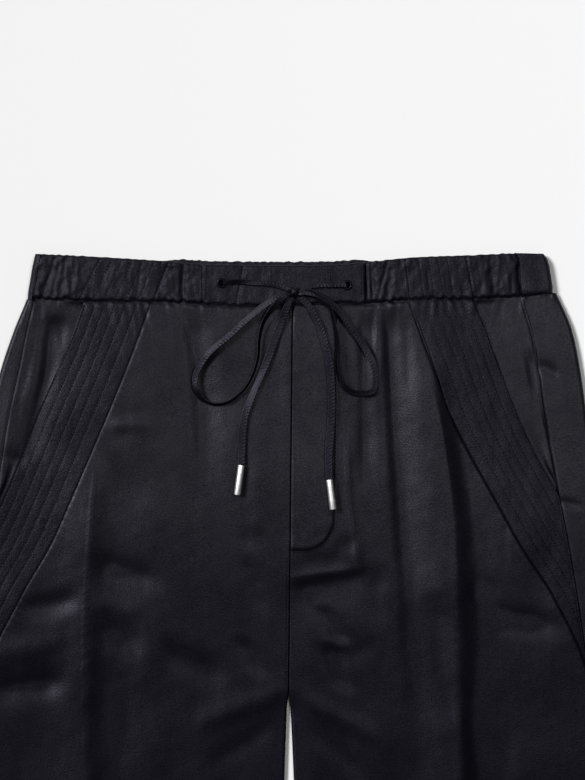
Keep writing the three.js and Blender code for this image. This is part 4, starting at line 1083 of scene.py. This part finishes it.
def casingRowAt(side, rowShare, share):
    # across of a stitched row on the casing, between its outermost two
    line = casingRows[side]
    return blendTo(blendTo(*line["inner"], share), blendTo(*line["outer"], share), rowShare)


def casingTop(across, share):
    # top of a folded tube: rounded at the fold, a ditch at the seam, ripples and creases
    pull = gathered(across)
    down = share * 36
    z = casing["top"] - 0.4 + 0.24 * gatherWave(across + 3 * (share - 0.5)) * (0.4 + 0.8 * share) * pull
    z = z + 0.36 * (0.14 + pull) * softNoise(across, 0.5 * down, 10, 12)
    z = z + 0.20 * (0.30 + pull) * softNoise(across, 0.7 * down, 5.2, 44)
    z = z + 0.16 * softNoise(across, down, 14, 3) + 0.05 * softNoise(across, down, 3.4, 61)
    for side in ("left", "right"):
        for rowShare in [0.0] + band["rows"] + [1.0]:
            depth = 0.7 if rowShare in (0.0, 1.0) else 0.22
            z = z + groove(across - casingRowAt(side, rowShare, share), depth, 0.6)
    for crease in rowsOf(casingCreases):
        distance = across - crease["across"] - crease["lean"] * (0.5 - share)
        fade = 0.7 + 0.3 * np.cos(math.tau * (share - 0.5))
        z = z - crease["depth"] * bell(distance, crease["near"], crease["far"]) * fade
    long = waistSeam(across) - waistTop(across)
    fromTop, fromSeam = share * long, (1 - share) * long
    z = z - 1.7 * (1 - np.sqrt(1 - (1 - np.clip(fromTop / 2.6, 0, 1)) ** 2))
    lumps = seamLumps(across)
    sag = 1.0 + (0.25 + 0.75 * pull) * (0.5 + 0.9 * lumps)
    z = z - sag * np.exp(-(fromSeam / (0.9 + 1.2 * lumps)) ** 2)
    return np.clip(z, casing["lowest"], 9.4)


def casingDown(across, share):
    # both edges are scalloped a little by the gathers
    top = waistTop(across) + 0.4 * gatherWave(across) * (0.2 + 0.8 * gathered(across))
    bite = (0.9 * seamLumps(across) - 0.2) * (1 - smoothStep(178, 188, np.abs(across)))
    return blendTo(top, waistSeam(across) - cloth["seam"] - bite * (0.3 + 0.7 * gathered(across)), share)


casingLean = readTable("share left right", [
    (0, 4.6, -5.4), (0.12, 3.6, -2.6), (0.3, 2.2, -1.0), (0.6, 0.6, 0.4), (0.85, -0.9, 1.6), (1, -1.2, 1.4)])


def endShift(across, share):
    # the casing's ends are rounder at the top and lean with its side seams
    shift = np.where(across < 0, np.interp(share, casingLean["share"], casingLean["left"]),
                     np.interp(share, casingLean["share"], casingLean["right"]))
    return shift * smoothStep(150, 194, np.abs(across))


def casingShares(count):
    # close together at both ends: t - 0.11 sin(2 pi t)
    t = np.linspace(0, 1, count)
    return (t - 0.11 * np.sin(math.tau * t))[:, None]


def casingStrip(name, start, end, step, heightAt):
    # a grid from end to end and from the fold to the seam over a flat underside
    columns = int(abs(end - start) / step) + 1
    across = np.linspace(start, end, columns)[None, :]
    shares = casingShares(34)
    x, down, z = np.broadcast_arrays(
        across + endShift(across, shares), casingDown(across, shares), heightAt(across, shares))
    under = 2 * cloth["casingFold"] - cloth["casing"] + 0 * z
    return putLayer(name, x, down, z, under, bandSatin)


def casingSeamAt(side):
    # how far the casing's side seam lies from the middle line
    return float(sideLine(side, "seam", 35.0)) - 1


def casingSide(side):
    # the gathered front of the casing, turned down at its side seam
    start = casing["ends"][side] + signOf(side) * cloth["seam"]
    end = signOf(side) * (casingSeamAt(side) - cloth["seam"] / 2)

    def heightAt(across, share):
        roll = edgeRoll(abs(end) - np.abs(across), casing["endRoll"][side], 1.3)
        return np.maximum(casingTop(across, share) + roll, casing["lowest"])

    return casingStrip("waist" + side.capitalize(), start, end, 0.7, heightAt)


eyelets = {"left": (-51.2, 22.6), "right": (42.8, 24.2)}
centre = {
    "patchSeam": (-34.6, -40.4),   # across at the top fold and at the seam, as for the rows
    "rows": [(-64.9, -65.4), (-62.2, -64.0), (-33.2, -39.0), (53.4, 53.4)],
    "bartack": {"across": (28.4, 30.2, 32.0), "from": 11.6, "to": 22.0},
    "hole": 2.8, "holeSides": 40,
}


def centreTop(across, share):
    # flat, with the patch's seam as a ditch and a level ring round each eyelet
    z = casingTop(across, share)
    patch = across - blendTo(*centre["patchSeam"], share)
    z = z + groove(patch, 0.7, 0.9) + 0.25 * smoothStep(0, 3, patch)
    for x, y in eyelets.values():
        fromEyelet = np.hypot(across - x, casingDown(across, share) - y)
        z = blendTo(casing["top"] - 0.05, z, smoothStep(4.2, 7.5, fromEyelet))
    ends = np.minimum(across - casing["ends"]["left"], casing["ends"]["right"] - across)
    return np.maximum(z + edgeRoll(ends, 0.7, 0.9), casing["lowest"])


def casingCentre():
    # a wall with a round hole cut for each eyelet
    piece = casingStrip("waistCentre", *casing["ends"].values(), 0.8, centreTop)
    cutters = []
    for x, y in eyelets.values():
        bpy.ops.mesh.primitive_cylinder_add(
            vertices=centre["holeSides"], radius=centre["hole"] * mm, depth=12 * mm,
            location=(x * mm, (garmentLength / 2 - y) * mm, 8 * mm))
        cutters.append(bpy.context.active_object)
    for cutter in cutters:
        cut = piece.modifiers.new("eyeletHole", "BOOLEAN")
        cut.object, cut.operation, cut.solver = cutter, "DIFFERENCE", "EXACT"
    graph = bpy.context.evaluated_depsgraph_get()
    mesh = bpy.data.meshes.new_from_object(piece.evaluated_get(graph))
    mesh.name = "waistCentre"
    piece.modifiers.clear()
    piece.data = mesh
    piece.data.set_sharp_from_angle(angle=math.radians(55))
    for cutter in cutters:
        bpy.data.objects.remove(cutter, do_unlink=True)
    return piece


def casingBack():
    # the back casing from one side seam round under the front one to the other: a strip, half a
    # circle, the flat underside, half a circle and a strip; in the middle its edge peeks out
    end, radius = cloth["casingSide"] - cloth["casingFold"], cloth["casingFold"]
    inside = radius - cloth["casing"]
    turn = math.pi * (np.linspace(0, 1, 15) - 0.5)
    halves = {}
    for side in ("left", "right"):
        sign, seam = signOf(side), casingSeamAt(side) + cloth["seam"] / 2
        strip = np.linspace(0, 1, 5)[1:]
        x = np.concatenate([sign * (end + radius * np.cos(turn)), sign * blendTo(end, seam, strip)])
        z = np.concatenate([radius * (1 + np.sin(turn)), 2 * radius + 0 * strip])
        xIn = np.concatenate([sign * (end + inside * np.cos(turn)), sign * blendTo(end, seam, strip)])
        zIn = np.concatenate([radius + inside * np.sin(turn), 2 * radius - cloth["casing"] + 0 * strip])
        halves[side] = np.stack([x, z, xIn, zIn])
    flatX = np.linspace(-end, end, 300)[1:-1]
    flat = np.stack([flatX, 0 * flatX, flatX, cloth["casing"] + 0 * flatX])
    path = np.hstack([halves["left"][:, ::-1], flat, halves["right"]])
    x, z, xIn, zIn = (row[None, :] for row in path)
    shares = casingShares(22)
    rise = 2.9 * smoothStep(-100, -78, x) * (1 - smoothStep(48, 66, x))
    rise = rise - (0.5 * gatherWave(x * 1.1 + 20) + 0.25 * gatherWave(2.3 * x)) * np.clip(rise / 3, 0, 1)
    peek = np.clip(rise / 3, 0, 1)
    seam = blendTo(underSeam(x), waistSeam(x), z / (2 * radius))
    down = blendTo(waistTop(x) - rise, seam + 0.06, shares)
    fromFold = np.clip(shares * 36 / 1.5, 0, 1)
    rounding = 1.6 * (1 - np.sqrt(1 - (1 - fromFold) ** 2)) * peek
    ripple = (0.8 * gatherWave(xIn * 1.1 + 20) + 0.5 * gatherWave(2.3 * xIn)) * peek * np.exp(-shares * 20)
    under = np.clip(zIn + ripple - rounding, 0.9, 6.0)
    shift = endShift(x, shares)
    top = np.where(z > 2 * radius - 0.01, casingTop(x + 0 * shares, shares), z)
    outer = np.stack(np.broadcast_arrays(x + shift, down, top), axis=-1)
    inner = np.stack(np.broadcast_arrays(xIn + shift, down, under), axis=-1)
    return putWall("waistBack", outer, inner, bandSatin)


def putCloth(piece, node):
    dress(piece, "satin", node)


for side in ("left", "right"):
    putCloth(frontPanel(side), "front_" + side)
    putCloth(backPanel(side), "back_" + side)
    putCloth(pocketBand(side), "pocket_band_" + side)
    putCloth(pocketFacing(side), "pocket_facing_" + side)
    putCloth(casingSide(side), "waist_" + side)
putCloth(mockFly(), "mock_fly")
putCloth(casingBack(), "waist_back")
putCloth(casingCentre(), "waist_centre")
print("cloth made")

# Eyelets: a rolled ring through the casing

eyeletProfile = [(2.0, -2.7), (2.45, -2.7), (2.5, -0.1), (3.5, 0.0), (3.85, 0.25), (3.9, 0.5), (3.6, 0.8),
                 (3.1, 0.97), (2.6, 0.95), (2.2, 0.7), (2.0, 0.3)]
for side, (x, y) in eyelets.items():
    ring = lathe("eyelet" + side.capitalize(), eyeletProfile, 48, np.eye(3), (x, y, casing["top"]),
                 darkMetal, looped=True)
    dress(ring, "dark_metal", f"eyelet_{side}")
print("eyelets made")


# Sewing: each stitch is a small pointed bead of thread along its line

beadRings = np.array([(-0.5, 0.02), (-0.36, 0.75), (0.0, 1.0), (0.36, 0.75), (0.5, 0.02)])
beadSides = 6


def sewLine(across, down, heightAt, pitch=stitch["pitch"], long=stitch["long"], lift=stitch["lift"]):
    # ends of the stitches along a line, an even pitch apart, set on the cloth below it
    line = np.column_stack([across, down, np.zeros(len(across))])
    line, at = evenSteps(line, 0.4)
    starts = np.arange(0.5, at[-1] - long, pitch)
    ends = []
    for spot in (starts, starts + long):
        x, y = np.interp(spot, at, line[:, 0]), np.interp(spot, at, line[:, 1])
        ends.append(np.stack([x, y, heightAt(x, y) + lift], axis=-1))
    return np.stack(ends, axis=1)


def putStitches(name, lines):
    # every stitch is the same bead, stretched from its one end to its other
    ends = np.concatenate(lines)
    along = ends[:, 1] - ends[:, 0]
    length = np.linalg.norm(along, axis=1)[:, None]
    sideways = np.stack([-along[:, 1], along[:, 0], 0 * along[:, 0]], axis=-1)
    sideways /= np.linalg.norm(sideways, axis=1)[:, None]
    upwards = np.cross(along / length, sideways)
    half = stitch["thick"] / 2
    angle = np.linspace(0, math.tau, beadSides, endpoint=False)
    place, wide = (np.repeat(column, beadSides)[None, :, None] for column in beadRings.T)
    cosine, sine = (np.tile(wave, len(beadRings))[None, :, None] for wave in (np.cos(angle), np.sin(angle)))
    points = (ends.mean(axis=1)[:, None] + along[:, None] * place
              + sideways[:, None] * wide * half * cosine + upwards[:, None] * wide * half * sine * 0.8)
    index = np.arange(len(beadRings) * beadSides).reshape(len(beadRings), beadSides)
    quads = gridFaces(np.hstack([index, index[:, :1]]))
    caps = np.array([[index[0, 0], index[0, k], index[0, k + 1]] for k in range(1, beadSides - 1)]
                    + [[index[-1, 0], index[-1, k + 1], index[-1, k]] for k in range(1, beadSides - 1)])
    flat = points.reshape(-1, 3)
    shift = (np.arange(len(ends)) * index.size)[:, None, None]
    quadFaces = (quads[None] + shift).reshape(-1, 4)
    capFaces = (caps[None] + shift).reshape(-1, 3)
    if insideOut(points[0], quads):
        quadFaces, capFaces = quadFaces[:, ::-1], capFaces[:, ::-1]
    faces = quadFaces.tolist() + capFaces.tolist()
    return dress(putMesh(name, flat, faces, flat[:, :2], threadSatin, 80), "cord")


def bandStitches():
    # the five rows between the channels, and one along the outer edge
    lines = []
    downs = np.arange(39.5, cloth["bandEnd"] - 8, 2.0)
    for side in ("left", "right"):
        edge = bandEdge(side, downs)
        heightAt = partial(bandTop, side)
        for rowShare in band["rows"]:
            across = blendTo(sideLine(side, "band", downs), sideLine(side, "mouth", downs), rowShare)
            keep = across < edge - 2.5
            across = signOf(side) * across[keep]
            lines.append(sewLine(across, rowDown(across, downs[keep]), heightAt))
        across = signOf(side) * (edge - band["edgeRow"])
        lines.append(sewLine(across, rowDown(across, downs), heightAt))
    return lines


def shareAt(across, down):
    # the casing's share for a place on it
    return (down - casingDown(across, 0)) / (casingDown(across, 1) - casingDown(across, 0))


def sideHeight(across, down):
    return casingTop(across, shareAt(across, down))


def centreHeight(across, down):
    return centreTop(across, shareAt(across, down))


def casingStitches():
    # the bands' rows run on up the casing; the flat centre has its own rows, one along its
    # seam, and a small bartack
    lines = []
    share = np.linspace(0.1, 0.93, 24)
    for side in ("left", "right"):
        for rowShare in [0.02] + band["rows"] + [0.975]:
            across = casingRowAt(side, rowShare, share)
            lines.append(sewLine(across, casingDown(across, share), sideHeight))
    share = np.linspace(0.08, 0.95, 24)
    for start, end in centre["rows"]:
        across = blendTo(start, end, share)
        lines.append(sewLine(across, casingDown(across, share), centreHeight, 2.2, 1.4))
    across = np.linspace(-39, 52, 40)
    lines.append(sewLine(across, casingDown(across, 0.93 + 0 * across), centreHeight, 2.2, 1.4))
    downs = np.arange(centre["bartack"]["from"], centre["bartack"]["to"], 1.0)
    for x in centre["bartack"]["across"]:
        lines.append(sewLine(x + 0 * downs, downs, centreHeight, 1.9, 1.1, 0.15))
    return lines


def panelStitches():
    # the fly's J: straight down, a quarter of an ellipse and a short tail back to the fold;
    # then the centre seam below it, and the two hems
    inset, corner, endDown = fly["stitchIn"], fly["corner"] - fly["stitchIn"], fly["end"] - 1.9
    downs = np.arange(42, fly["end"] - fly["corner"], 2.0)
    straight = np.column_stack([innerEdge("right", downs) + fly["start"] + fly["wide"] - inset, downs])
    turns = np.linspace(0, math.pi / 2, 24)
    startX = float(innerEdge("right", fly["end"])) + fly["start"]
    curve = np.column_stack([
        startX + fly["wide"] - inset - corner * (1 - np.cos(turns)) * fly["squeeze"],
        endDown - corner + corner * np.sin(turns)])
    tail = np.array([[startX + 5.0, endDown - 0.3], [startX + 1.2, endDown - 1.6]])
    line = np.vstack([straight, curve, tail])
    lines = [sewLine(line[:, 0], line[:, 1], flyTop, 2.3, 1.5)]
    downs = np.arange(fly["end"] + 3, cloth["crotch"] - 6, 2.0)
    lines.append(sewLine(innerEdge("left", downs) - 2.4, downs, partial(frontTop, "left"), 2.3, 1.5))
    for side in ("left", "right"):
        across = np.linspace(innerEdge(side, 1014.0) + signOf(side) * 4, signOf(side) * 240, 60)
        lines.append(sewLine(across, hemTop + 0 * across, partial(frontTop, side), 3.0, 2.0))
    return lines


putStitches("bandStitches", bandStitches())
putStitches("casingStitches", casingStitches())
putStitches("panelStitches", panelStitches())
print("sewing made")


# The floor and the lights: angles in degrees, places in metres

light = {
    "sun": 3.15, "fromLeft": 39.0, "fromTop": 18.0, "spread": 17.0, "sky": 0.105,
    "box": 7.6, "boxAt": (0.50, 0.72, 1.9), "boxAim": (0.14, 0.45, 0.0), "boxSize": 0.44,
    "floor": 0.885, "floorHalf": 9, "floorUnder": 0.0003,
}


def floorMaterial(tone):
    # pale matt paint with a faint grain
    material, tree, shader = newMaterial("paleFloor")
    grain = noiseNode(tree, objectPlace(tree), 60.0, 3.0)
    setInputs(tree, shader, {
        "Base Color": mixColours(tree, grain, (tone,) * 3, (tone * 0.995,) * 3),
        "Roughness": 0.9, "Specular IOR Level": 0.1})
    return material


half, under = light["floorHalf"], light["floorUnder"]
floorMesh = bpy.data.meshes.new("floor")
floorMesh.from_pydata([(-half, -half, 0), (half, -half, 0), (half, half, 0), (-half, half, 0)], [],
                      [(0, 1, 2, 3)])
floorMesh.materials.append(floorMaterial(light["floor"]))
floor = putInScene("floor", floorMesh)
floor.location.z = -under

sunData = bpy.data.lights.new("softSun", "SUN")
sunData.energy, sunData.angle = light["sun"], math.radians(light["spread"])
softSun = putInScene("softSun", sunData)
softSun.rotation_euler = (math.radians(-light["fromTop"]), math.radians(-light["fromLeft"]), 0)

boxData = bpy.data.lights.new("softBox", "AREA")
boxData.energy, boxData.shape, boxData.size = light["box"], "DISK", light["boxSize"]
softBox = putInScene("softBox", boxData)
softBox.location = light["boxAt"]
boxLine = Vector(light["boxAim"]) - Vector(light["boxAt"])
softBox.rotation_euler = boxLine.to_track_quat("-Z", "Y").to_euler()

world = bpy.data.worlds.new("studio")
world.use_nodes = True
background = world.node_tree.nodes["Background"]
setInputs(world.node_tree, background, {"Color": (1, 1, 1, 1), "Strength": light["sky"]})
bpy.context.scene.world = world
bpy.context.scene.view_settings.view_transform = "Standard"
print("floor and lights placed")
